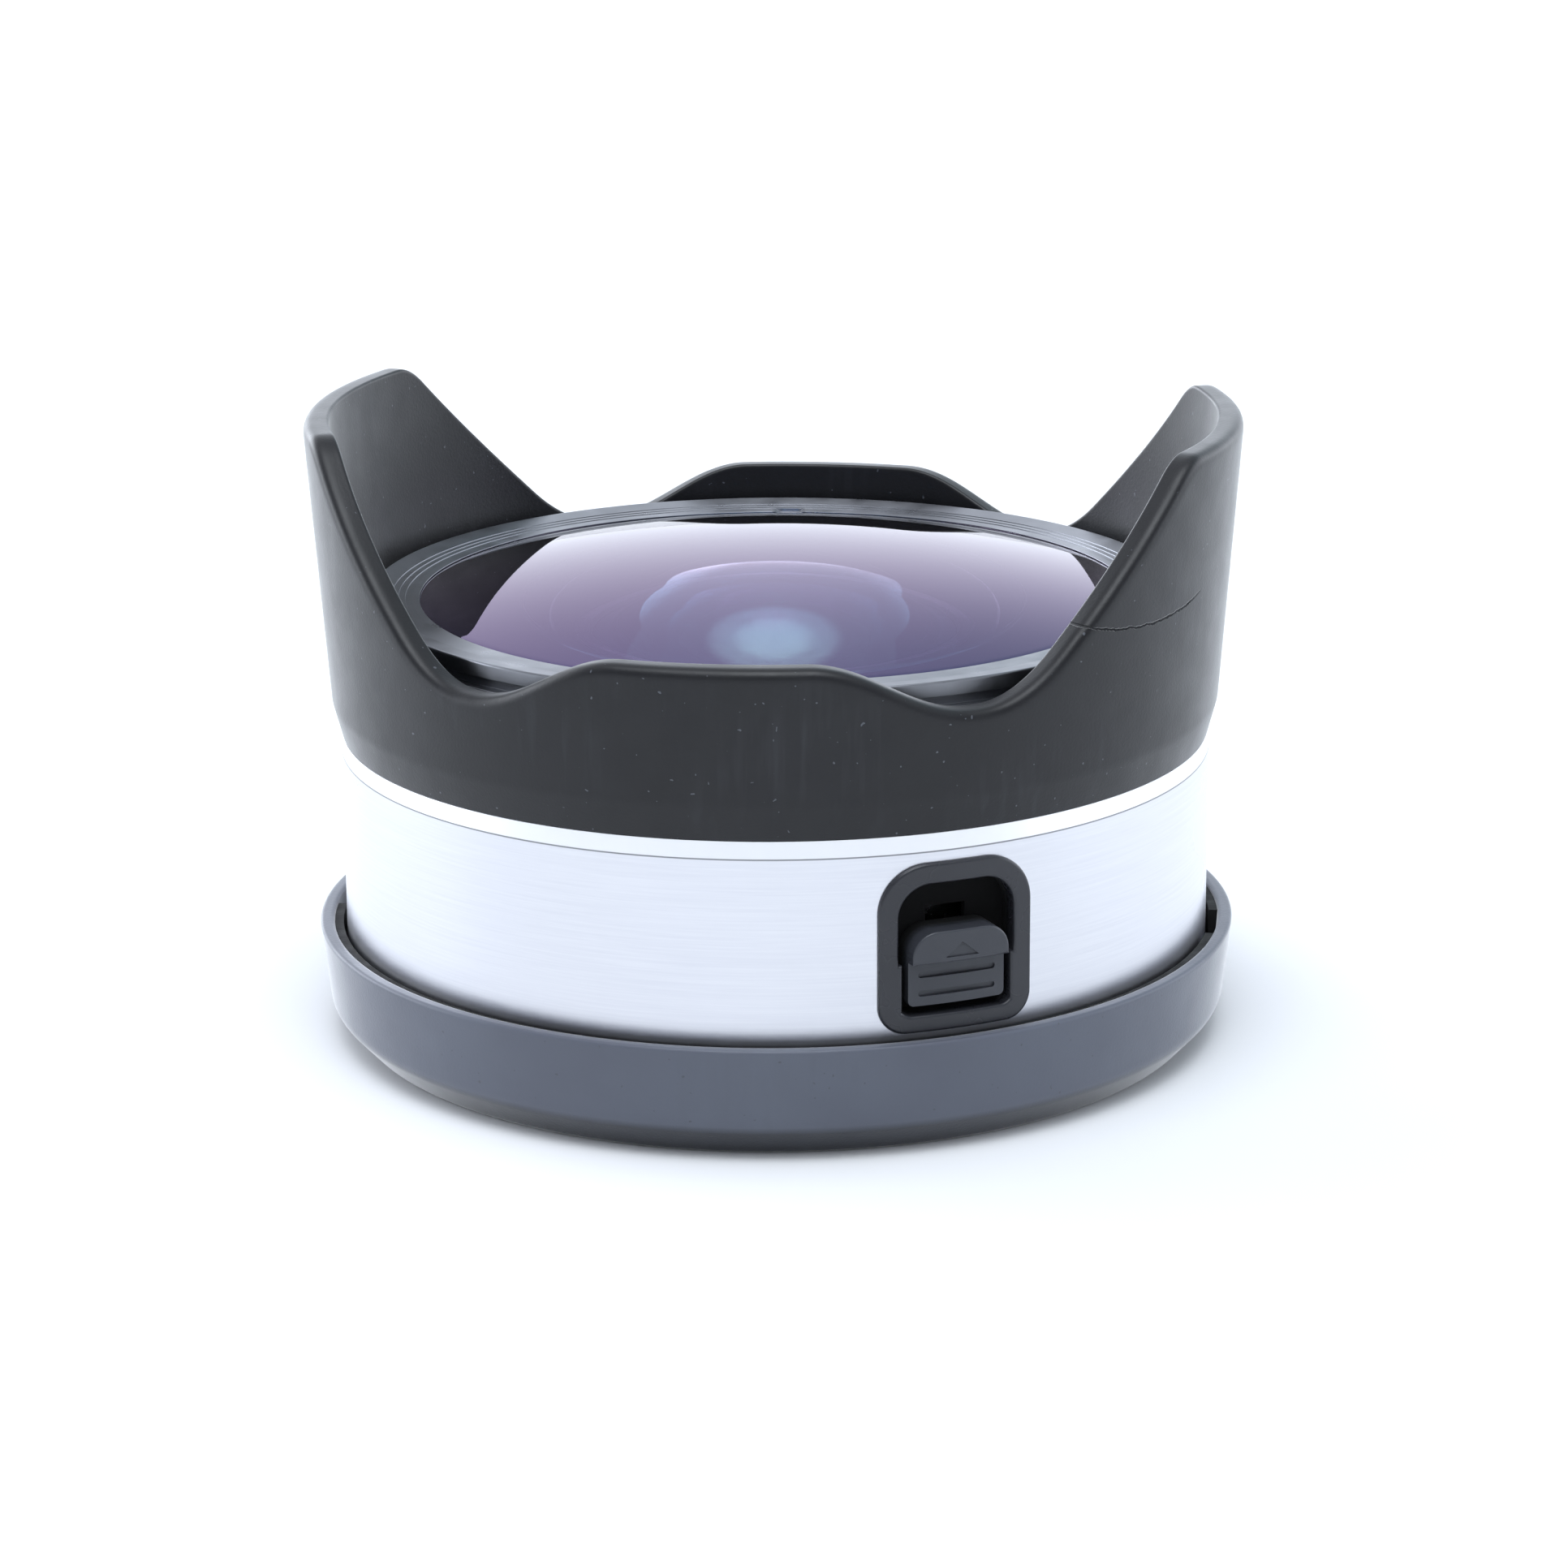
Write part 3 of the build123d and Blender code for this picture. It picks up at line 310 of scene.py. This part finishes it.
# %% Moulded ABS
def moulded_abs(
    name, dark, light, roughness, depth=0.004, sheen=0.0, deep=0.0,
    worn=False, cracked=False, painted_shade_foot=False,
):
    """Spark-eroded ABS: a colour that drifts a little, and a fine even grain.

    With `painted_shade_foot` the cap's shoulder gets painted shade, up to 2.3 mm above the table. Its face
    is where the radius less 0.93 times the height is 30.1 mm. Nearer to the axis than the radius
    `deep`, the plastic gets painted shade and is dull.
    """
    material, place = new_material(name)
    colour = between(material, cloudy(material, place, 9.0, 0.0, 1.0), dark, light)
    rough = cloudy(material, place, 2.5, roughness - 0.04, roughness + 0.04)
    grain = 0.2
    normal = relief(material, cloudy(material, place, grain, 0.0, 1.0), depth)
    if worn:
        colour = between(material, wear(material, place), colour, "4c4f56")
    at = add(material, "ShaderNodeSeparateXYZ", {"Vector": place}).outputs
    flat = add(material, "ShaderNodeCombineXYZ", {"X": at["X"], "Y": at["Y"]}).outputs["Vector"]
    radius = add(material, "ShaderNodeVectorMath", {0: flat}, operation="LENGTH").outputs["Value"]
    if painted_shade_foot:
        # Painted shade on the cap's shoulder, where the real one lies in shade.
        foot = clamped(material, at["Z"], 1.9 * mm, 2.5 * mm, 1.0, 0.0)
        slope = reckon(material, "SUBTRACT", radius, reckon(material, "MULTIPLY", at["Z"], 0.93))
        outside = clamped(material, slope, 29.6 * mm, 29.9 * mm)
        colour = between(material, reckon(material, "MULTIPLY", foot, outside), colour, "2b2e35")
    if deep:
        # Painted shade: deep in the pocket the colour goes near black, where the real one lies in shade.
        inside = clamped(material, radius, (deep - 0.8) * mm, deep * mm, 1.0, 0.0)
        colour = between(material, inside, colour, "030304")
        rough = reckon(material, "MAXIMUM", rough, inside)
    if cracked:
        line = crack(material, place)
        crack_depth = 0.25
        normal = relief(material, reckon(material, "SUBTRACT", 1.0, line), crack_depth, normal)
        rough = reckon(material, "MAXIMUM", rough, line)
    return shade(
        material,
        Base_Color=colour,
        Roughness=rough,
        IOR=1.46,
        Sheen_Weight=sheen,
        Sheen_Roughness=0.28,
        Normal=normal,
    )


hood_abs = moulded_abs("hood_moulded_abs", "08090e", "0b0c12", 0.42, sheen=0.54, worn=True, cracked=True)
cap_abs = moulded_abs("cap_moulded_abs", "535763", "585d69", 0.44, sheen=1.0, worn=True, painted_shade_foot=True)
frame_abs = moulded_abs("frame_moulded_abs", "141517", "18191b", 0.5)
bezel_abs = moulded_abs("bezel_satin_abs", "2a2b30", "2f3035", 0.28, depth=0.002, deep=30.7)
slide_abs = moulded_abs("slide_satin_abs", "36383e", "3c3e44", 0.34, depth=0.002, deep=30.9)
print("plastics:", *(plastic.name for plastic in (hood_abs, cap_abs, frame_abs, bezel_abs, slide_abs)))

# %% [markdown]
# ## The brushed barrel
#
# The barrel is aluminium tube, brushed while it turned on a lathe and then anodised clear. Each
# scratch runs round it, so the pattern is noise that is squeezed along the axis and stretched
# round it, and a highlight is drawn out up and down the barrel. Brushing leaves some forty
# scratches to a millimetre; seven are drawn. The band at the top is painted lighter, as painted
# light that makes up for the shade that the hood casts on it, with a fine dark line at its foot.


# %% Brushed and anodised aluminium
def brushed_aluminium(name, dark, light, roughness, anisotropic, band_foot):
    """Clear anodised aluminium with scratches that run round the axis, and painted light on a top band."""
    material, place = new_material(name)
    scratch_width = 0.14
    squeezed = add(material, "ShaderNodeMapping", {"Vector": place, "Scale": (0.02, 0.02, 1.0)})
    scratches = cloudy(material, squeezed.outputs["Vector"], scratch_width, 0.0, 1.0, detail=4)
    rough = cloudy(material, place, 12.0, roughness - 0.01, roughness + 0.01)
    height = add(material, "ShaderNodeSeparateXYZ", {"Vector": place}).outputs["Z"]
    # Painted light: the top band is coloured lighter, to make up for the shade that the hood casts on it.
    painted_light_band = clamped(material, height, (band_foot - 0.02) * mm, (band_foot + 0.02) * mm)
    from_line = reckon(material, "ABSOLUTE", reckon(material, "SUBTRACT", height, band_foot * mm))
    line = clamped(material, from_line, 0.03 * mm, 0.07 * mm, 1.0, 0.0)
    colour = between(material, painted_light_band, between(material, scratches, dark, light), "f0f1f3")
    tangent = add(material, "ShaderNodeTangent", direction_type="RADIAL", axis="Z")
    return shade(
        material,
        Base_Color=between(material, line, colour, "85868a"),
        Metallic=1.0,
        Roughness=rough,
        Anisotropic=anisotropic,
        Anisotropic_Rotation=0.25,
        Tangent=tangent.outputs["Tangent"],
        Normal=relief(material, scratches, 0.0004),
    )


barrel_aluminium = brushed_aluminium(
    "barrel_brushed_aluminium", "d7d8de", "dddee3", roughness=0.28, anisotropic=0.4, band_foot=20.74
)
print("barrel:", barrel_aluminium.name, "with", len(barrel_aluminium.node_tree.nodes), "nodes")

# %% [markdown]
# ## Turned and blackened metal
#
# The ring round the glass is aluminium that was turned and anodised black, and the fine marks of
# the tool draw its highlights out across the ring. Its colour here is a light grey metal, matched
# to the photograph's low angle, where a black ring shines. From above and from the sides it looks
# like silver, which a black ring wouldn't. The lens cell is painted dead black on the inside, to
# swallow stray light.


# %% Black anodised aluminium, black lacquer, steel, nickel and rubber
def plain_finish(name, dark, light, roughness, metallic=0.0, patch=3.0, grain=0.2, depth=0.003, **sockets):
    """A plain surface: colour and gloss that drift over patches, and a fine grain.

    A turned one has the fine marks of the tool round its axis, which draw a highlight out across them.
    """
    material, place = new_material(name)
    if "Anisotropic" in sockets:
        tangent = add(material, "ShaderNodeTangent", direction_type="RADIAL", axis="Z")
        sockets |= {"Tangent": tangent.outputs["Tangent"], "Anisotropic_Rotation": 0.25}
    drift = cloudy(material, place, patch, 0.0, 1.0)
    return shade(
        material,
        Base_Color=between(material, drift, dark, light),
        Metallic=metallic,
        Roughness=cloudy(material, place, patch / 2, 0.85 * roughness, 1.15 * roughness),
        Normal=relief(material, cloudy(material, place, grain, 0.0, 1.0), depth),
        **sockets,
    )


ring_anodised = plain_finish(
    "ring_black_anodised", "909298", "989aa0", 0.32, metallic=1.0, patch=4.0, grain=0.15, depth=0.0002,
    Anisotropic=0.8,
)
edge_paint = plain_finish("glass_edge_paint", "020202", "040404", 0.6, IOR=1.3)
cell_lacquer = plain_finish("cell_black_lacquer", "030303", "050506", 0.55)
fine_metal = {"metallic": 1.0, "patch": 1.5, "grain": 0.1, "depth": 0.002}
steel = plain_finish("fastener_steel", "8d8f94", "a6a8ad", 0.3, **fine_metal)
spring_steel = plain_finish("spring_steel", "9c9ea2", "b4b6ba", 0.25, **fine_metal)
bayonet_nickel = plain_finish(
    "bayonet_satin_nickel", "b3b1ac", "c9c7c2", 0.28, metallic=1.0, patch=5.0, grain=0.15, depth=0.002
)
rubber = plain_finish("pad_nitrile_rubber", "121212", "181818", 0.75, grain=0.25, depth=0.01)
plain_ones = (ring_anodised, edge_paint, cell_lacquer, steel, spring_steel, bayonet_nickel, rubber)
print("plain finishes:", *(finish.name for finish in plain_ones))

# %% [markdown]
# ## Coated glass
#
# Optical glass is clear; what one sees is its surface. Its film is a few hundred nanometres thick,
# so the light from the film's two faces adds up for some colours and cancels for others. The
# shader's own thin film makes these colours. The front element's film was matched to the purple of
# the photograph's low angle. A film's colour changes with the angle, and from straight above this
# one is a strong teal, more than a real coating would show.


# %% Optical glass with a thin film
def coated_glass(name, tint, index, film, film_index=1.38):
    """Polished optical glass under a film whose thickness is given in nanometres."""
    material, _ = new_material(name)
    return shade(
        material,
        Base_Color=linear(tint),
        Roughness=0.0,
        IOR=index,
        Transmission_Weight=1.0,
        Thin_Film_Thickness=film,
        Thin_Film_IOR=film_index,
    )


front_glass = coated_glass("front_coated_glass", "9a94b0", 1.6, 310.0, 2.0)
second_glass = coated_glass("second_coated_glass", "c8b8d8", 1.6, 330.0, 2.0)
third_glass = coated_glass("third_coated_glass", "b8d0d8", 1.6, 150.0)
fourth_glass = coated_glass("fourth_coated_glass", "b8d0d8", 1.6, 150.0)
print("glass:", *(glass.name for glass in (front_glass, second_glass, third_glass, fourth_glass)))

# %% Give every CAD node its material
node_materials = {
    "rear_cap": cap_abs,
    "cap_grip_pads": rubber,
    "barrel_sleeve": barrel_aluminium,
    "petal_hood": hood_abs,
    "front_retaining_ring": ring_anodised,
    "front_seal": rubber,
    "front_element": front_glass,
    "lens_cell": cell_lacquer,
    "cell_screws": steel,
    "second_retaining_ring": ring_anodised,
    "second_element": second_glass,
    "third_element": third_glass,
    "fourth_element": fourth_glass,
    "rear_retaining_ring": ring_anodised,
    "rear_baffle": frame_abs,
    "rear_frame": frame_abs,
    "bayonet_ring": bayonet_nickel,
    "bayonet_screws": steel,
    "bayonet_leaf_springs": spring_steel,
    "hood_screws": steel,
    "release_bezel": bezel_abs,
    "release_spring": spring_steel,
    "release_slide": slide_abs,
    "slide_plate": spring_steel,
    "lock_pin": spring_steel,
}
for name, material in node_materials.items():
    nodes[name].data.materials.clear()
    nodes[name].data.materials.append(material)
print(len(node_materials), "nodes have a material")

# %% [markdown]
# ## The petal hood
#
# The hood is one moulded shell whose free edge runs through two tall and two short petals. Its
# wall has the same outline all the way round, apart from its height, so the outline is worked out
# for each azimuth at once. The edge's height is a function of the angle from the middle of a
# short petal: flat, half a cosine wave down into the valley, a parabola into a straight rise, and
# a second parabola into the flat top of the tall petal.

# %% Work out the hood's edge
barrel_top = 21.96
hood_foot, hood_flare, hood_tall, hood_short, hood_valley = 1.64, 2.53, 22.54, 11.94, 8.34
short_end, valley_start, valley_end, rise_start, rise_end, corner = 11.5, 32.0, 33.0, 44.0, 66.4, 2.6
edge_slope = (hood_tall - hood_valley) / ((rise_start - valley_end) / 2 + rise_end - rise_start)


def edge_height(angle):
    """Height of the hood's edge above the barrel, for angles in degrees from a short petal."""
    wave = hood_valley + (hood_short - hood_valley) * (
        1 + np.cos(np.pi * (angle - short_end) / (valley_start - short_end))
    ) / 2
    bend = hood_valley + edge_slope * (angle - valley_end) ** 2 / (2 * (rise_start - valley_end))
    rise = hood_tall + edge_slope * (angle - rise_end)
    turn = rise - edge_slope * (angle - rise_end + corner) ** 2 / (4 * corner)
    limits = (short_end, valley_start, valley_end, rise_start, rise_end - corner, rise_end + corner)
    return np.select(
        [angle <= limit for limit in limits],
        [hood_short, wave, hood_valley, bend, rise, turn],
        hood_tall,
    )


# %% Sweep the hood's wall
hood_turns = 720
hood_angle = np.arange(hood_turns) * 360 / hood_turns
folded = np.abs((hood_angle + 90) % 180 - 90)
edge = edge_height(folded)
hood_mean_radius = 32.0
slope = np.gradient(edge, np.radians(hood_angle) * hood_mean_radius)
steepness = np.sqrt(1 + slope**2)
hood_wall, foot_bore, foot_radius, flare_radius, top_radius = 1.85, 27.2, 30.88, 31.56, 33.05
draft = (top_radius - flare_radius) / (hood_tall - hood_flare)
moat_radius = top_radius - hood_wall - draft * (hood_tall - hood_foot)
outer = flare_radius + draft * (edge - hood_flare)
same = np.ones(hood_turns)
hood_outline = np.stack(
    [
        np.stack((radius * same, barrel_top + height * same), -1)
        for radius, height in (
            (foot_bore, 0),
            (foot_radius, 0),
            (flare_radius, hood_flare),
            (outer, edge),
            (outer - hood_wall, edge),
            (moat_radius, hood_foot),
            (foot_bore, hood_foot),
        )
    ],
    1,
)
outer_round, inner_round = 0.95, 0.25
cuts = np.tile([0.05, 0.1, 0.3, outer_round, inner_round, 0.6, 0.1], (hood_turns, 1))
before, after = cuts.copy(), cuts.copy()
before[:, 3] *= steepness
after[:, 4] *= steepness
petal_hood = skin("petal_hood_surface", around(rounded(hood_outline, before, after, 8), hood_turns))
petal_hood.data.materials.append(hood_abs)
stand_in(petal_hood)

# %% [markdown]
# ## The rear cap
#
# The cap is a shallow dish: a flat ring to stand on, a shoulder that slopes out, a wall with a
# little draft and a thin rim.

# %% Turn the rear cap
cap_outline = [
    (0.01, 0.4), (26.0, 0.4), (26.4, 0.0), (30.1, 0.0), (32.24, 2.3), (32.9, 8.1),
    (31.9, 8.1), (31.55, 3.0), (30.9, 1.5), (0.01, 1.5),
]
cap_rounds = [0.001, 0.1, 0.1, 0.35, 0.55, 0.3, 0.3, 0.3, 0.3, 0.001]
rear_cap = skin("rear_cap_surface", around(rounded(cap_outline, cap_rounds, steps=6)))
rear_cap.data.materials.append(cap_abs)
stand_in(rear_cap)

# %% [markdown]
# ## The front ring
#
# A spanner turns this ring down onto the glass. Its face is dished a little, so that it shines in
# grazing light; three fine steps lead down to the glass, and below the face the wall is undercut.

# %% Turn the front ring
ring_top, ring_radius, ring_bore, face_bore = 31.6, 28.8, 25.2, 27.2
ring_turns = 540
ring_angle = np.arange(ring_turns) * 360 / ring_turns
slot_azimuth, slot_half_width = 5.0, 2.0
slotted = np.abs((ring_angle - slot_azimuth + 90) % 180 - 90) < slot_half_width
tread, riser, face_drop, outer_lift = 0.5, 0.04, 0.1, 0.08
ring_corners = [(ring_radius, ring_top + outer_lift)]
for step in range(3):
    levels = [ring_top - face_drop - riser * (step + drop) for drop in (0, 1)]
    ring_corners += [(face_bore - tread * step, level) for level in levels]
ring_corners += [
    (25.7, levels[1]), (ring_bore, 31.36), (ring_bore, 31.3), (25.75, 31.3), (25.75, 30.05),
    (27.5, 30.05), (27.5, 23.6), (29.05, 23.6), (29.05, 29.9), (28.3, 29.9), (28.3, 30.6),
    (ring_radius, 30.6),
]
ring_outline = np.tile(ring_corners, (ring_turns, 1, 1))
slot_corners = [(26.1, 31.41), (26.1, 31.17), (25.95, 31.16), (25.86, 31.15), (25.8, 31.12), (25.76, 31.06)]
ring_outline[slotted, 5:11] = slot_corners
ring_rounds = [0.15] + [0.012] * 7 + [0.02, 0.01, 0.01] + [0.05] * 8
ring_outline = rounded(ring_outline, ring_rounds, steps=3)
front_ring = skin("front_retaining_ring_surface", around(ring_outline, ring_turns))
front_ring.data.materials.append(ring_anodised)
stand_in(front_ring)

# %% [markdown]
# ## The glass
#
# An element's two faces are parts of spheres. A sphere of radius R has fallen by
# R - sqrt(R^2 - r^2) at a distance r from the axis. The elements are closed solids, as light has
# to enter and leave them, and their ground edges are softened by a small bevel.


# %% Grind the elements
def fall(curve, radius):
    """How far a sphere of a radius falls between the axis and a distance from it."""
    return curve - np.sqrt(curve**2 - radius**2)


def element(name, front, back, radius, material, turns=192, rings=48):
    """A lens from two (apex height, curve, face radius) faces; a negative curve bulges downwards.

    Whatever is not one of the two polished faces gets black edge paint.
    """

    def face(apex, curve, rim):
        r = np.linspace(0, rim, rings)
        return np.stack((r, apex - np.sign(curve) * fall(abs(curve), r)), -1)

    bevel_drop, bevel_width, back_bevel = 0.12, 0.1, 0.02
    upper, lower = face(*front), face(*back)
    edge = [(radius, upper[-1, 1] - bevel_drop), (radius, lower[-1, 1] + back_bevel)]
    upper = upper[upper[:, 0] <= radius - bevel_width]
    piece = skin(name, around(np.concatenate((upper, edge, lower[::-1])), turns), closed=(True, False))
    faces = len(piece.data.polygons)
    centres, normals = np.empty(3 * faces), np.empty(3 * faces)
    piece.data.polygons.foreach_get("center", centres)
    piece.data.polygons.foreach_get("normal", normals)
    away, tilt = np.hypot(centres[0::3], centres[1::3]) / mm, normals[2::3]
    upright, level = np.abs(tilt) < 0.3, tilt < -0.99
    painted = upright | (level & (away > back[2]))
    piece.data.materials.append(material)
    piece.data.materials.append(edge_paint)
    piece.data.polygons.foreach_set("material_index", painted.astype(np.int32))
    return stand_in(piece)


# %% Set the elements one behind the other
def reach(apex, curve, level):
    """How far from the axis a sphere has come down from its apex to a level."""
    return np.sqrt(curve**2 - (curve - (apex - level)) ** 2)


front_seat, front_radius, front_curve, hollow_curve = 24.1, 25.7, 110.0, 25.996
front_edge_height, front_thickness = 7.05, 3.86
front_apex = front_seat + front_edge_height + fall(front_curve, front_radius)
hollow_apex = front_apex - front_thickness
element(
    "front_element_surface",
    (front_apex, front_curve, front_radius),
    (hollow_apex, hollow_curve, reach(hollow_apex, hollow_curve, front_seat)),
    front_radius, front_glass,
)
second_seat, second_radius, second_curve, second_hollow_curve = 19.1, 15.5, 22.01, 12.493
second_edge_height, second_thickness = 2.0, 1.8
second_apex = second_seat + second_edge_height + fall(second_curve, second_radius)
second_hollow = second_apex - second_thickness
element(
    "second_element_surface",
    (second_apex, second_curve, second_radius),
    (second_hollow, second_hollow_curve, reach(second_hollow, second_hollow_curve, second_seat)),
    second_radius, second_glass,
)
pair_radius, third_curve, cement_curve, cement_gap, fourth_back_curve = 9.548, 18.0, 13.998, 0.02, 40.0
third_stop, third_stop_radius, third_edge_height, fourth_thickness = 17.05, 8.898, 1.85, 1.09
third_front = third_stop - (fall(third_curve, pair_radius) - fall(third_curve, third_stop_radius))
third_apex = third_front + fall(third_curve, pair_radius)
cement_apex = third_front - third_edge_height - fall(cement_curve, pair_radius)
element(
    "third_element_surface",
    (third_apex, third_curve, pair_radius),
    (cement_apex, -cement_curve, pair_radius),
    pair_radius, third_glass,
)
element(
    "fourth_element_surface",
    (cement_apex - cement_gap, -cement_curve - cement_gap, pair_radius),
    (cement_apex - fourth_thickness, -fourth_back_curve, pair_radius),
    pair_radius, fourth_glass,
)

# %% [markdown]
# ## The release spring
#
# A coil spring behind the window presses the slide down. Real springs end in a closed coil that
# lies flat, so the pitch is small at both ends. The slide squeezes the real one when it goes up;
# this one keeps its shape.

# %% Wind the release spring
spring_foot, spring_head, spring_coil, spring_wire, spring_turns = 15.56, 21.0, 0.72, 0.14, 6.5
spring_azimuth, spring_circle = np.radians(30.3), 25.75
spring_axis = np.array([spring_circle * np.sin(spring_azimuth), -spring_circle * np.cos(spring_azimuth)])
along = np.linspace(0, 1, 400)
closing = 0.6
climb = along - closing * np.sin(2 * np.pi * along) / (2 * np.pi)
turn = 2 * np.pi * spring_turns * along
outward = np.stack((np.cos(turn), np.sin(turn), 0 * turn), -1)
middle = spring_coil * outward
middle[:, :2] += spring_axis
middle[:, 2] = spring_foot + spring_wire + (spring_head - spring_foot - 2 * spring_wire) * climb
ahead = np.gradient(middle, axis=0)
ahead /= np.linalg.norm(ahead, axis=1, keepdims=True)
upward = np.cross(ahead, outward)
section = np.linspace(0, 2 * np.pi, 12, endpoint=False)[None, :, None]
round_wire = np.cos(section) * outward[:, None] + np.sin(section) * upward[:, None]
wire = middle[:, None] + spring_wire * round_wire
tips = np.broadcast_to(middle[[0, -1], None], (2, 12, 3))
wire = np.concatenate((tips[:1], wire, tips[1:]))
release_spring = skin("release_spring_surface", wire, closed=(False, True))
release_spring.data.materials.append(spring_steel)
stand_in(release_spring)
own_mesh(release_spring)

# %% [markdown]
# ## The studio
#
# The lens stands on white paper in a white tent. The floor is brighter than the camera's white,
# so that only the soft shadow round the foot shows.

# %% Lay the table
floor_size = 6.0
floor_corners = [(x * floor_size, y * floor_size, 0) for x, y in ((-1, -1), (1, -1), (1, 1), (-1, 1))]
floor_mesh = bpy.data.meshes.new("studio_floor")
floor_mesh.from_pydata(floor_corners, [], [(0, 1, 2, 3)])
floor = bpy.data.objects.new("studio_floor", floor_mesh)
bpy.context.scene.collection.objects.link(floor)
floor.location.z = -0.02 * mm
floor_paper, floor_place = new_material("white_backdrop_paper")
floor_cloud = cloudy(floor_paper, floor_place, 60.0, 0.0, 1.0)
shade(floor_paper, Base_Color=between(floor_paper, floor_cloud, "eaebed", "edeeef"), Roughness=0.9)
floor_mesh.materials.append(floor_paper)
print("floor of", 2 * floor_size, "m")

# %% [markdown]
# ## The tent
#
# The tent is the world itself, so that it lights the lens from every side, while the camera itself
# sees plain white behind the lens. A soft area overhead
# has a brighter middle, a bright panel on each flank catches the edges of barrel and hood, and the
# grey cloth in between is what the glass and the ring mirror. The colours are linear light, and
# each area runs softly into the next.


# %% Sew the tent
scene = bpy.context.scene
tent = bpy.data.worlds.new("white_tent")
scene.world = tent
tent.use_nodes = True
tent.node_tree.nodes.clear()
outwards = add(tent, "ShaderNodeTexCoord").outputs["Generated"]
way = add(tent, "ShaderNodeSeparateXYZ", {"Vector": outwards})


def ramp(value, low, high):
    """A share that rises smoothly from 0 to 1 while a value goes from low to high."""
    span = {"Value": value, "From Min": low, "From Max": high}
    return add(tent, "ShaderNodeMapRange", span, interpolation_type="SMOOTHSTEP").outputs["Result"]


def blend(share, first, second):
    """A colour that goes from one to the other with a share; each is a colour or a socket."""
    mix = add(tent, "ShaderNodeMix", {"Factor": share}, data_type="RGBA")
    for name, value in (("A", first), ("B", second)):
        if isinstance(value, bpy.types.NodeSocket):
            tent.node_tree.links.new(value, mix.inputs[name])
        else:
            mix.inputs[name].default_value = (*value, 1.0)
    return mix.outputs["Result"]


def facing_towards(direction, way):
    """The cosine of the angle between a direction and a way to look."""
    inputs = {0: direction, 1: Vector(way).normalized()}
    return add(tent, "ShaderNodeVectorMath", inputs, operation="DOT_PRODUCT").outputs["Value"]


# %% Light the tent
low_cloth, high_left_cloth, high_right_cloth = (1.6, 1.72, 1.9), (0.95, 1.0, 1.1), (0.5, 0.66, 0.74)
front_cloth, top_cloth = (0.40, 0.42, 0.46), (0.6, 0.62, 0.66)
left_panel, right_panel = (5.6, 5.9, 6.4), (2.7, 2.85, 3.1)
roof, roof_middle = (2.8, 2.95, 3.2), (5.6, 5.9, 6.2)
high_cloth = blend(ramp(way.outputs["X"], -0.15, 0.15), high_left_cloth, high_right_cloth)
backdrop = blend(ramp(way.outputs["Z"], 0.0, 0.65), low_cloth, high_cloth)
walls = blend(ramp(way.outputs["Y"], -0.35, 0.45), front_cloth, backdrop)
sky = blend(ramp(way.outputs["Z"], 0.6, 0.9), walls, top_cloth)

sideways = add(tent, "ShaderNodeMath", {0: way.outputs["X"]}, operation="ABSOLUTE").outputs["Value"]
folded_way = {"X": sideways, "Y": way.outputs["Y"], "Z": way.outputs["Z"]}
mirrored = add(tent, "ShaderNodeCombineXYZ", folded_way).outputs["Vector"]
flank = facing_towards(mirrored, (0.88, 0.45, -0.2))
panels = blend(ramp(way.outputs["X"], -0.3, 0.3), left_panel, right_panel)
sky = blend(ramp(flank, 0.6, 0.9), sky, panels)

overhead = facing_towards(outwards, (0.04, -0.35, 1.0))
sky = blend(ramp(overhead, 0.87, 0.93), sky, roof)
sky = blend(ramp(overhead, 0.945, 0.985), sky, roof_middle)
seen = add(tent, "ShaderNodeLightPath").outputs["Is Camera Ray"]
glow = add(tent, "ShaderNodeBackground", {"Color": blend(seen, sky, (1.0, 1.0, 1.0)), "Strength": 1.0})
add(tent, "ShaderNodeOutputWorld", {"Surface": glow.outputs["Background"]})
scene.view_settings.view_transform = "Standard"
scene.cycles.use_denoising = True
print("tent with", len(tent.node_tree.nodes), "nodes")
